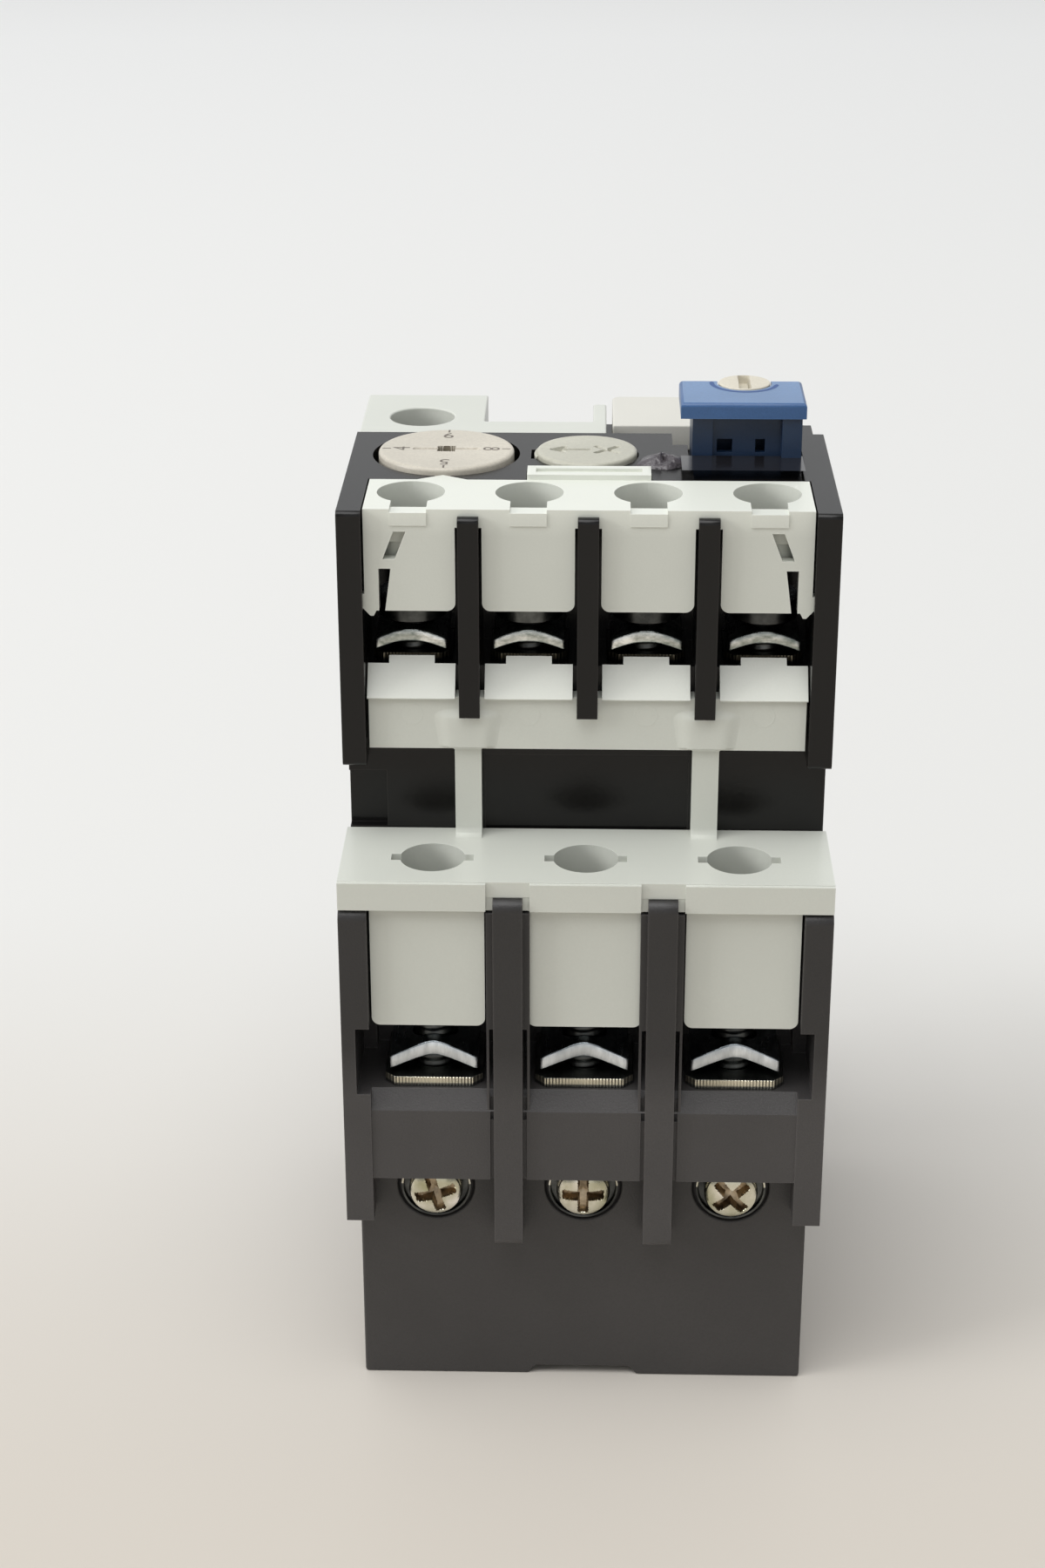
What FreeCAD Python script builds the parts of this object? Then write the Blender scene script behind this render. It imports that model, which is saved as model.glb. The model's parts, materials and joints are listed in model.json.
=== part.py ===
import FreeCAD, Part
import math
import os
import Sketcher
from FreeCAD import Placement, Rotation, Vector

# Three-pole thermal overload relay, millimetres.
# +Z points away from the panel, -Y is the side with the load terminals, +X is right.
# The origin is the middle of the bounding box's floor.

doc = FreeCAD.newDocument("thermal_overload_relay")
sheet = doc.addObject("Spreadsheet::Sheet", "dims")

SIZES = {
    # widths across the body, and how far the narrower mouldings stand back from it
    "body_width": 45.0, "base_inset": 1.1, "deck_inset": 0.3,
    "aux_cover_inset": 2.35, "strip_inset": 2.45, "frame_inset": 1.9, "cavity_inset": 2.9,
    # depths: -Y is the terminal side
    "rib_front": -33.4, "wing_front": -32.9, "ledge_front": -32.7, "guide_front": -32.6,
    "lip_front": -32.4, "sill_front": -31.5, "base_front": -30.1, "main_axis_y": -27.2,
    "upper_front": -23.5, "aux_cover_front": -22.6, "strip_front": -22.5,
    "chamber_back": -22.4, "face_front": -20.6, "aux_axis_y": -17.5, "aux_back": -13.7,
    "top_rear": 1.2, "rear_face": 13.0, "blade_tip": 33.4,
    # the split lines and the top, above the panel
    "base_top": 26.2, "mid_top": 53.5, "top_level": 87.0,
    # heights above base_top
    "rib_foot": -9.4, "wing_foot": -6.9, "fixing_level": -4.6, "skirt_foot": -2.3,
    "guide_foot": 2.3, "ledge_corner": 5.1, "sill_level": 6.9, "ribbon_start": 0.8,
    # heights above sill_level
    "blade_level": 1.4, "main_tongue_foot": 6.9, "main_shank_end": -4.9,
    "main_clamp_apex": 4.8, "main_head_foot": 6.2, "pocket_foot": -0.3,
    # heights above mid_top
    "lip_foot": -1.3, "partition_top": -4.6, "hook_foot": -9.5, "main_sleeve_foot": -3.0,
    "face_panel_top": 9.0, "lever_level": 7.0, "strip_end": -0.7,
    # heights above top_level
    "aux_floor": -15.6, "roof_foot": -10.5, "coil_floor": -13.0, "coil_tongue_foot": -7.5,
    "aux_tongue_foot": -9.6, "aux_sleeve_foot": -3.4, "rear_deck": -2.6, "dial_floor": -3.0,
    "dial_foot": -2.5, "dial_top": 0.5, "test_well_floor": -4.1, "test_foot": -1.1,
    "aux_rib_top": -0.6, "tongue_gap_top": -1.7, "snap_top": -2.1, "snap_bridge_top": -4.7,
    "stem_foot": -5.5, "window_foot": 0.6, "head_foot": 4.3, "calibration_foot": -4.6,
    "calibration_top": -0.6, "seal_top": 0.6,
    # heights above aux_floor
    "upper_foot": -9.0, "strip_foot": -7.5, "flare_level": -6.5, "flare_top": -3.9,
    "aux_rib_foot": -4.1, "flap_edge": -2.4, "flap_top": 0.2, "aux_shank_end": -4.4,
    "aux_clamp_apex": 3.7, "aux_head_foot": 4.0,
    # heights above roof_foot, head_foot, lever_level and fixing_level
    "cam_foot": -3.3, "test_stem_end": -2.9, "plunger_end": -1.9, "well_floor": 2.0,
    "post_top": -3.5, "head_top": 1.5, "spring_room_top": -1.3, "selector_foot": 0.1,
    "selector_shaft_end": -1.7, "selector_top": 1.6, "lever_top": 9.7, "lug_top": 2.5,
    "strip_start": -4.6, "bracket_foot": -6.6, "bracket_tab_top": 4.0, "holder_top": 2.4,
    # walls and clearances
    "wall": 1.6, "seat_gap": 0.1, "skirt_wall": 0.8, "lid_wall": 1.0, "running_gap": 0.05,
    "slot_gap": 0.15, "guide_gap": 0.3, "rounding": 0.8,
    # rear tray
    "base_floor": 2.2, "bay_margin": 1.5, "channel_width": 10.6, "channel_height": 0.9,
    "channel_chamfer": 0.7,
    # load terminal chambers
    "wing_wall": 2.6, "pocket_depth": 1.3, "guide_slot": 0.4, "barrier_width": 2.7, "barrier_round": 1.0,
    "guide_width": 4.0, "partition_wall": 1.2, "main_well_depth": 6.0, "groove_width": 0.35,
    "groove_depth": 0.25,
    # main terminal cover
    "cover_plate": 1.5, "lip_wall": 1.0, "panel_height": 0.35,
    "main_hole_radius": 3.0, "keyhole_length": 7.6, "keyhole_width": 1.3,
    "sleeve_wall": 0.6, "main_tongue_wall": 1.0, "tongue_margin": 3.6, "tongue_shift": 0.35,
    "upright_shift": 0.22, "upright_width": 2.45, "upright_depth": 1.5, "foot_round": 0.9,
    "flap_margin": 2.7, "flap_overhang": 0.4, "flap_tab_width": 4.2, "flap_tab_rise": 0.6,
    "flap_tab_reach": 0.5, "flare_width": 5.4,
    "flare_proud": 0.2,
    # auxiliary terminal cover
    "aux_barrier": 1.9, "aux_wing_wall": 2.2, "aux_side_room": 2.0, "aux_round": 0.5,
    "aux_rib_nose": 0.8, "aux_well_depth": 5.4, "aux_cover_plate": 1.5,
    "aux_tongue_wall": 1.1, "tongue_gap": 2.4, "aux_hole_radius": 3.1,
    "aux_notch_width": 3.3, "aux_notch_depth": 3.5, "tab_drop": 0.3, "tab_proud": 0.12,
    "pointer_width": 4.6, "pointer_gap": 0.15, "label_width": 11.4, "label_depth": 2.8,
    "label_proud": 0.5, "label_frame": 0.8, "label_sink": 0.3, "thin_plate": 0.8,
    "snap_bridge": 0.9, "snap_arm": 1.3, "snap_slit": 1.1, "snap_slant": 1.0,
    "barb_reach": 0.5, "barb_height": 2.2, "barb_drop": 0.5,
    # contact plates, clamps and screws of the load terminals
    "main_plate_margin": 4.9, "main_plate_thickness": 1.0, "main_plate_chamfer": 1.0,
    "main_tail_width": 5.0, "main_tail_end": -7.5, "main_nut": 6.0, "main_nut_height": 2.4,
    "main_clamp_margin": 5.8, "main_clamp_depth": 7.0, "main_clamp_thickness": 1.4,
    "main_clamp_rise": 2.0, "main_shank": 1.95, "main_head_radius": 3.5,
    "main_head_height": 2.7,
    # the same of the auxiliary and coil terminals
    "aux_plate_margin": 3.55, "aux_plate_thickness": 1.0, "aux_tail_width": 3.8,
    "aux_tail_end": -10.5, "aux_nut": 5.0, "aux_nut_height": 1.8, "aux_clamp_margin": 4.15,
    "aux_clamp_depth": 7.0, "aux_clamp_thickness": 1.2, "aux_clamp_rise": 0.95,
    "aux_shank": 1.7, "aux_head_radius": 3.15, "aux_head_height": 2.4,
    "head_chamfer": 0.6, "recess_depth": 1.3, "recess_length": 4.0, "recess_width": 0.8,
    "coil_axis_y": 6.6, "coil_room_width": 9.6, "coil_hole_radius": 3.15,
    "coil_cover_rear": 14.3, "coil_bar_rear": 5.1, "coil_arm_wall": 1.3,
    "coil_arm_rear": 11.2, "marker_front": 4.0, "marker_rear": 14.1,
    # heater fixing screws
    "fixing_head_radius": 2.55, "fixing_head_height": 1.6, "fixing_shank": 1.45,
    "fixing_end": -25.6, "ring_radius": 3.5, "ring_thickness": 0.6, "ring_recess": 0.5,
    # places and widths of the controls, for a body of WIDTH_AS_LISTED
    "dial_x": -13.5, "dial_radius": 6.5, "test_x": -0.25, "test_radius": 4.75,
    "calibration_x": 6.4, "head_left": 8.44, "head_right": 20.1, "stem_left": 9.6,
    "stem_right": 19.75, "selector_x": 14.6, "plunger_x": 12.0, "coil_axis_x": -16.5,
    "coil_cover_left": -22.3, "coil_cover_right": -10.3, "coil_bar_right": 1.6,
    "marker_left": 2.2, "marker_right": 19.6, "slide_left": -18.2, "slide_right": 16.2,
    "differential_right": 15.4, "lever_x": 16.0, "upper_arm_x": 14.0, "post_offset": 6.0,
    "carrier_left": -8.0, "carrier_right": 13.65,
    # dial and its cam
    "dial_y": -5.8, "dial_margin": 0.45, "dial_shaft": 2.0, "dial_socket": 1.9,
    "dial_socket_depth": 1.2, "dial_chamfer": 0.3, "cam_height": 2.8, "cam_radius": 3.6,
    "cam_offset": 1.0,
    # test button
    "test_y": -5.8, "test_tab_reach": 0.2, "test_tab_width": 2.6, "test_stem": 1.6,
    "spring_wire": 0.2, "test_spring_radius": 2.6, "test_spring_turns": 2.5,
    # reset button and mode selector
    "head_front": -8.5, "head_rear": -0.9, "stem_front": -7.2, "stem_rear": 0.3,
    "stem_wall": 1.2, "leg_width": 1.85, "leg_depth": 1.0, "panel_inset": 1.9,
    "panel_sink": 0.4, "spring_room_rear": -3.9, "head_round": 0.4, "notch_margin": 0.54,
    "notch_front": -2.6, "apron_sink": 0.4, "plunger_radius": 1.0,
    "reset_spring_radius": 0.8, "reset_spring_turns": 5.0, "window_height": 1.3,
    "selector_y": -1.5, "selector_radius": 2.45, "selector_shaft": 1.1,
    "selector_slot": 0.9, "selector_slot_depth": 0.6,
    # calibration screw
    "calibration_y": -8.4, "calibration_radius": 1.5, "seal_radius": 1.6,
    # connector blades and hooks
    "blade_width": 6.0, "blade_thickness": 1.5, "blade_chamfer": 1.2, "hook_reach": 3.2,
    "hook_height": 3.2, "hook_wall": 1.3, "hook_width": 3.0,
    # bimetal group
    "strip_y": -4.0, "strip_depth": 5.0, "strip_thickness": 0.9, "bracket_sheet": 1.5,
    "bracket_width": 6.0, "holder_margin": 0.5, "ribbon_gap": 0.45,
    "ribbon_thickness": 0.35, "ribbon_height": 1.6, "ribbon_pitch": 2.6, "ribbon_turns": 7,
    # trip mechanism
    "slide_gap": 0.15, "slide_thickness": 1.4, "slide_front": -8.2, "slide_rear": 0.2,
    "slide_travel": 1.8, "finger_gap": 0.2, "lever_arm": 1.2, "lever_depth": 3.0,
    "lever_lift": 0.4, "lever_hub": 2.2, "pin_radius": 1.0, "frame_sheet": 1.2,
    "frame_front": -11.9, "frame_rear": 5.0, "lug_inner": 2.8, "lug_half_width": 2.6,
    "post_half_depth": 4.2, "carrier_drop": 2.0, "carrier_height": 3.2,
    "carrier_depth": 3.4, "bridge_sheet": 0.5, "bridge_depth": 8.0, "bridge_height": 1.4,
}

# Each of these levels is counted from the level that heads its row, in this order.
COUNTED_FROM = {
    "base_top": ("rib_foot", "wing_foot", "fixing_level", "skirt_foot", "guide_foot",
                 "ledge_corner", "sill_level", "ribbon_start"),
    "sill_level": ("blade_level", "main_tongue_foot", "main_shank_end", "main_clamp_apex",
                   "main_head_foot", "pocket_foot"),
    "mid_top": ("lip_foot", "partition_top", "hook_foot", "main_sleeve_foot",
                "face_panel_top", "lever_level", "strip_end"),
    "top_level": ("aux_floor", "roof_foot", "coil_floor", "coil_tongue_foot",
                  "aux_tongue_foot", "aux_sleeve_foot", "rear_deck", "dial_floor",
                  "dial_foot", "dial_top", "test_well_floor", "test_foot", "aux_rib_top",
                  "tongue_gap_top", "snap_top", "snap_bridge_top", "stem_foot",
                  "window_foot", "head_foot", "calibration_foot", "calibration_top",
                  "seal_top"),
    "aux_floor": ("upper_foot", "strip_foot", "flare_level", "flare_top", "aux_rib_foot",
                  "flap_edge", "flap_top", "aux_shank_end", "aux_clamp_apex",
                  "aux_head_foot"),
    "roof_foot": ("cam_foot", "test_stem_end", "plunger_end", "well_floor", "post_top"),
    "head_foot": ("head_top", "spring_room_top", "selector_foot", "selector_shaft_end",
                  "selector_top"),
    "lever_level": ("lever_top", "lug_top"),
    "fixing_level": ("strip_start", "bracket_foot", "bracket_tab_top", "holder_top"),
}

# These keep their share of the body's width, which is this one where they are listed.
WIDTH_AS_LISTED = 45.0
WITH_THE_WIDTH = (
    "dial_x", "dial_radius", "test_x", "test_radius", "calibration_x", "head_left",
    "head_right", "stem_left", "stem_right", "selector_x", "plunger_x", "coil_axis_x",
    "coil_cover_left", "coil_cover_right", "coil_bar_right", "marker_left", "marker_right",
    "slide_left", "slide_right", "differential_right", "lever_x", "upper_arm_x",
    "post_offset", "carrier_left", "carrier_right",
)


class Size:
    """A length that keeps its spreadsheet formula beside its present value."""

    def __init__(self, formula, value):
        self.formula = formula
        self.value = value

    def __add__(self, other):
        other = sized(other)
        return Size(f"({self.formula} + {other.formula})", self.value + other.value)

    def __sub__(self, other):
        other = sized(other)
        return Size(f"({self.formula} - {other.formula})", self.value - other.value)

    def __mul__(self, factor):
        factor = sized(factor)
        return Size(f"({self.formula} * {factor.formula})", self.value * factor.value)

    def __truediv__(self, divisor):
        divisor = sized(divisor)
        return Size(f"({self.formula} / {divisor.formula})", self.value / divisor.value)

    def __neg__(self):
        return Size(f"(0 - {self.formula})", -self.value)


def sized(number):
    """The number as a Size, unchanged if it already is one."""
    if isinstance(number, Size):
        return number
    return Size(f"({number:.6f})", number)


class Dims:
    """Holds one Size for each alias of the sheet."""


d = Dims()
for row, (alias, value) in enumerate(SIZES.items(), start=1):
    sheet.set(f"A{row}", alias)
    sheet.set(f"B{row}", str(value))
    sheet.setAlias(f"B{row}", alias)
    setattr(d, alias, Size(f"dims.{alias}", value))
doc.recompute()

for reference, aliases in COUNTED_FROM.items():
    for alias in aliases:
        setattr(d, alias, getattr(d, reference) + getattr(d, alias))
for alias in WITH_THE_WIDTH:
    setattr(d, alias, getattr(d, alias) * d.body_width / WIDTH_AS_LISTED)

d.base_width = d.body_width - d.base_inset * 2
d.deck_width = d.body_width - d.deck_inset * 2
d.aux_cover_width = d.body_width - d.aux_cover_inset * 2
d.strip_width = d.body_width - d.strip_inset * 2
d.frame_width = d.body_width - d.frame_inset * 2
d.cavity_width = d.body_width - d.cavity_inset * 2
d.main_pitch = (d.body_width - d.barrier_width) / 3
d.aux_pitch = (d.body_width - d.aux_side_room) / 4
d.bay_width = d.main_pitch - d.bay_margin
d.tongue_width = d.main_pitch - d.tongue_margin
d.main_plate_width = d.main_pitch - d.main_plate_margin
d.main_clamp_width = d.main_pitch - d.main_clamp_margin
d.aux_plate_width = d.aux_pitch - d.aux_plate_margin
d.aux_clamp_width = d.aux_pitch - d.aux_clamp_margin
d.flap_width = d.aux_pitch - d.flap_margin
d.upright_offset = d.aux_pitch + d.upright_shift
d.dial_well_radius = d.dial_radius + d.dial_margin
d.lever_foot = d.partition_top + d.lever_lift
d.carrier_foot = d.lever_top - d.carrier_drop
d.rear_roof = d.carrier_foot - d.finger_gap

POLES = (-1, 0, 1)
AUX_POSTS = (-1.5, -0.5, 0.5, 1.5)
SIDES = (-1, 1)


# ---------------------------------------------------------------- drawing helpers

def bind(feature, name, size):
    """Ties one property of a feature to the sheet."""
    feature.setExpression(name, sized(size).formula)


def new_body(label):
    """An empty body with the label that names its file."""
    body = doc.addObject("PartDesign::Body", label)
    body.Label = label
    return body


def place(body, x=0, y=0, z=0):
    """Moves a body to a place bound to the sheet."""
    for axis, size in zip("xyz", (x, y, z)):
        bind(body, f"Placement.Base.{axis}", size)
    return body


def plane_sketch(body, plane, offset):
    """A sketch on one of the body's own origin planes, moved along its normal."""
    sketch = body.newObject("Sketcher::SketchObject", "sketch")
    role = f"{plane}_Plane"
    support = [item for item in body.Origin.OriginFeatures if item.Role == role][0]
    sketch.AttachmentSupport = [(support, "")]
    sketch.MapMode = "FlatFace"
    bind(sketch, "AttachmentOffset.Base.z", offset)
    return sketch


def pin_point(sketch, geometry, end, point):
    """Dimensions one point of the sketch from the sketch's origin."""
    for kind, size in zip(("DistanceX", "DistanceY"), point):
        size = sized(size)
        index = sketch.addConstraint(Sketcher.Constraint(kind, geometry, end, size.value))
        sketch.setExpression(f"Constraints[{index}]", size.formula)


def vector_of(point):
    """The present place of a sketch point."""
    return Vector(sized(point[0]).value, sized(point[1]).value, 0)


def draw_polygon(sketch, points):
    """A closed outline with every corner dimensioned."""
    first = sketch.GeometryCount
    count = len(points)
    for index in range(count):
        start = vector_of(points[index])
        end = vector_of(points[(index + 1) % count])
        sketch.addGeometry(Part.LineSegment(start, end), False)
    for index in range(count):
        follower = first + (index + 1) % count
        sketch.addConstraint(Sketcher.Constraint("Coincident", first + index, 2, follower, 1))
    for index, point in enumerate(points):
        pin_point(sketch, first + index, 1, point)


def draw_circle(sketch, circle):
    """A circle given as (x, y, radius)."""
    radius = sized(circle[2])
    centre = vector_of(circle[:2])
    index = sketch.addGeometry(Part.Circle(centre, Vector(0, 0, 1), radius.value), False)
    pin_point(sketch, index, 3, circle[:2])
    rule = sketch.addConstraint(Sketcher.Constraint("Radius", index, radius.value))
    sketch.setExpression(f"Constraints[{rule}]", radius.formula)


def draw(sketch, outlines):
    """Polygons are lists of points, circles are tuples (x, y, radius)."""
    for outline in outlines:
        if isinstance(outline, tuple):
            draw_circle(sketch, outline)
        else:
            draw_polygon(sketch, outline)


def rectangle(low_x, high_x, low_y, high_y):
    """The four corners of an upright rectangle."""
    return [(low_x, low_y), (high_x, low_y), (high_x, high_y), (low_x, high_y)]


def centred(middle, width, low_y, high_y):
    """A rectangle of the given width about a middle line."""
    middle = sized(middle)
    half = sized(width) / 2
    return rectangle(middle - half, middle + half, low_y, high_y)


def mirrored(points):
    """The same outline on the other side of the sketch's vertical axis."""
    return [(-sized(x), y) for x, y in points]


def prism(body, plane, low, high, outlines, cut=False):
    """Pads or pockets outlines between two levels along the plane's axis (Z, Y or X)."""
    low = sized(low)
    high = sized(high)
    offset = -high if plane == "XZ" else low
    sketch = plane_sketch(body, plane, offset)
    draw(sketch, outlines)
    if cut:
        feature = body.newObject("PartDesign::Pocket", "pocket")
        feature.Reversed = True
    else:
        feature = body.newObject("PartDesign::Pad", "pad")
    feature.Profile = sketch
    bind(feature, "Length", high - low)
    sketch.Visibility = False
    return feature


def carve(body, plane, low, high, outlines):
    """Cuts outlines out of the body between two levels."""
    return prism(body, plane, low, high, outlines, cut=True)


def turned(body, points):
    """Revolves a profile of (radius, height) points about the body's own Z axis."""
    sketch = plane_sketch(body, "XZ", 0)
    draw_polygon(sketch, points)
    feature = body.newObject("PartDesign::Revolution", "revolution")
    feature.Profile = sketch
    feature.ReferenceAxis = (sketch, ["V_Axis"])
    feature.Angle = 360.0
    sketch.Visibility = False
    return feature


def edge_names(body, direction, **limits):
    """Names of straight edges along one axis whose middle meets the given limits."""
    doc.recompute()
    axis = {"x": Vector(1, 0, 0), "y": Vector(0, 1, 0), "z": Vector(0, 0, 1)}[direction]
    names = []
    for index, edge in enumerate(body.Shape.Edges, start=1):
        if not isinstance(edge.Curve, (Part.Line, Part.LineSegment)):
            continue
        run = edge.Vertexes[-1].Point - edge.Vertexes[0].Point
        if abs(run.dot(axis)) < 0.999 * run.Length:
            continue
        middle = edge.CenterOfMass
        hits = [abs(getattr(middle, name) - sized(at).value) < 0.01 for name, at in limits.items()]
        if all(hits):
            names.append(f"Edge{index}")
    return names


def soften(body, radius, names):
    """Rounds the named edges of the body's present tip."""
    feature = body.newObject("PartDesign::Fillet", "fillet")
    feature.Base = (feature.BaseFeature, names)
    bind(feature, "Radius", radius)
    return feature


def cross_recess(body, top):
    """Sinks a cross slot into a screw head whose top lies at the given height."""
    half_long = d.recess_length / 2
    half_wide = d.recess_width / 2
    cross = [
        (-half_long, -half_wide), (-half_wide, -half_wide), (-half_wide, -half_long),
        (half_wide, -half_long), (half_wide, -half_wide), (half_long, -half_wide),
        (half_long, half_wide), (half_wide, half_wide), (half_wide, half_long),
        (-half_wide, half_long), (-half_wide, half_wide), (-half_long, half_wide),
    ]
    carve(body, "XY", top - d.recess_depth, top, [cross])


# ---------------------------------------------------------------- housings

def base_housing():
    """Rear tray: three open bays, three screw bores in its front wall, a channel underneath."""
    body = new_body("base_housing")
    half = d.base_width / 2
    prism(body, "XY", 0, d.base_top, [rectangle(-half, half, d.base_front, d.rear_face)])
    bays = [
        centred(d.main_pitch * pole, d.bay_width, d.base_front + d.wall, d.rear_face - d.wall)
        for pole in POLES
    ]
    carve(body, "XY", d.base_floor, d.base_top, bays)
    channel = d.channel_width / 2
    top = channel - d.channel_chamfer
    outline = [(-channel, 0), (channel, 0), (top, d.channel_height), (-top, d.channel_height)]
    carve(body, "XZ", d.base_front, d.rear_face, [outline])
    recesses = [(d.main_pitch * pole, d.fixing_level, d.ring_radius + d.slot_gap) for pole in POLES]
    carve(body, "XZ", d.base_front, d.base_front + d.ring_recess, recesses)
    bores = [(d.main_pitch * pole, d.fixing_level, d.fixing_shank + d.seat_gap) for pole in POLES]
    carve(body, "XZ", d.base_front, d.base_front + d.wall, bores)
    return body


def terminal_housing():
    """Middle moulding: wings and barriers round three wire chambers, ledge, skirt, lid rim."""
    body = new_body("terminal_housing")
    half = d.body_width / 2
    side_profile = [
        (d.rear_face, d.base_top), (d.rear_face, d.mid_top), (d.chamber_back, d.mid_top),
        (d.chamber_back, d.sill_level), (d.sill_front, d.sill_level),
        (d.ledge_front, d.ledge_corner), (d.ledge_front, d.skirt_foot),
        (d.ledge_front + d.skirt_wall, d.skirt_foot), (d.ledge_front + d.skirt_wall, d.base_top),
    ]
    prism(body, "YZ", -half, half, [side_profile])
    wing_inner = half - d.wing_wall
    wing = rectangle(wing_inner, half, d.wing_front, d.chamber_back)
    wing_top = d.lip_foot - d.seat_gap
    prism(body, "XY", d.base_top, wing_top, [wing, mirrored(wing)])
    rim_inner = half - d.lid_wall
    front_inner = d.base_front - d.seat_gap
    rim = [
        (half, d.wing_front), (half, d.rear_face), (rim_inner, d.rear_face),
        (rim_inner, front_inner), (wing_inner, front_inner), (wing_inner, d.wing_front),
    ]
    prism(body, "XY", d.wing_foot, d.base_top, [rim, mirrored(rim)])
    rib = [
        (d.rib_front, d.rib_foot), (d.rib_front, d.mid_top - d.seat_gap),
        (d.chamber_back, d.mid_top - d.seat_gap), (d.chamber_back, d.base_top),
        (front_inner, d.base_top), (front_inner, d.rib_foot),
    ]
    tongue_front = d.lip_front + d.lip_wall / 2
    guide = rectangle(
        d.guide_front, tongue_front - d.seat_gap, d.guide_foot, wing_top - d.slot_gap)
    for side in SIDES:
        middle = d.main_pitch * side / 2
        prism(body, "YZ", middle - d.barrier_width / 2, middle + d.barrier_width / 2, [rib])
        prism(body, "YZ", middle - d.guide_width / 2, middle + d.guide_width / 2, [guide])
    cavity_half = d.cavity_width / 2
    cavity_front = d.chamber_back + d.wall
    cavity_rear = d.rear_face - d.wall
    middle_edge = d.main_pitch / 2 - d.partition_wall / 2
    outer_bay = rectangle(middle_edge + d.partition_wall, cavity_half, cavity_front, cavity_rear)
    middle_bay = rectangle(-middle_edge, middle_edge, cavity_front, cavity_rear)
    carve(body, "XY", d.base_top, d.partition_top, [middle_bay, outer_bay, mirrored(outer_bay)])
    room = rectangle(-cavity_half, cavity_half, cavity_front, cavity_rear)
    carve(body, "XY", d.partition_top, d.mid_top, [room])
    well_half = d.main_nut / 2 + d.seat_gap
    wells = [
        centred(d.main_pitch * pole, well_half * 2, d.main_axis_y - well_half,
                d.main_axis_y + well_half)
        for pole in POLES
    ]
    carve(body, "XY", d.sill_level - d.main_well_depth, d.sill_level, wells)
    pocket = rectangle(
        wing_inner, wing_inner + d.pocket_depth, d.wing_front, d.chamber_back - d.wall)
    carve(body, "XY", d.pocket_foot + d.guide_gap, d.main_tongue_foot, [pocket, mirrored(pocket)])
    groove_inner = d.main_pitch / 2 + d.barrier_width / 2
    grooves = [
        rectangle(groove_inner, groove_inner + d.groove_width, d.skirt_foot, d.ledge_corner),
        rectangle(groove_inner - d.barrier_width - d.groove_width,
                  groove_inner - d.barrier_width, d.skirt_foot, d.ledge_corner),
    ]
    grooves += [mirrored(groove) for groove in grooves]
    carve(body, "XZ", d.ledge_front, d.ledge_front + d.groove_depth, grooves)
    slot_foot = d.ledge_corner - d.barrier_round
    guide_slots = [
        rectangle(groove_inner, groove_inner + d.guide_slot, slot_foot, d.main_tongue_foot),
        rectangle(groove_inner - d.barrier_width - d.guide_slot,
                  groove_inner - d.barrier_width, slot_foot, d.main_tongue_foot),
    ]
    guide_slots += [mirrored(slot) for slot in guide_slots]
    carve(body, "XZ", d.guide_front, tongue_front, guide_slots)
    slot_top = d.sill_level + d.main_plate_thickness + d.slot_gap
    tails = [
        centred(d.main_pitch * pole, d.main_tail_width + d.slot_gap * 2, d.sill_level, slot_top)
        for pole in POLES
    ]
    carve(body, "XZ", d.chamber_back, cavity_front, tails)
    blade_half = d.blade_thickness / 2 + d.slot_gap / 2
    blades = [
        centred(
            d.main_pitch * pole, d.blade_width + d.slot_gap,
            d.blade_level - blade_half, d.blade_level + blade_half,
        )
        for pole in POLES
    ]
    carve(body, "XZ", cavity_rear, d.rear_face, blades)
    hook_top = d.hook_foot + d.hook_height
    lip = d.rear_face + d.hook_reach - d.hook_wall
    hook = [
        (d.rear_face - d.seat_gap, d.hook_foot), (d.rear_face + d.hook_reach, d.hook_foot),
        (d.rear_face + d.hook_reach, hook_top), (lip, hook_top - d.hook_wall / 2),
        (lip, d.hook_foot + d.hook_wall), (d.rear_face - d.seat_gap, d.hook_foot + d.hook_wall),
    ]
    for side in SIDES:
        middle = d.main_pitch * side / 2
        prism(body, "YZ", middle - d.hook_width / 2, middle + d.hook_width / 2, [hook])
    edges = edge_names(body, "x", y=d.wing_front, z=wing_top)
    edges += edge_names(body, "x", y=d.rib_front, z=d.mid_top - d.seat_gap)
    edges += edge_names(body, "x", y=d.rib_front, z=d.rib_foot)
    soften(body, d.barrier_round, edges)
    return body


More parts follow.
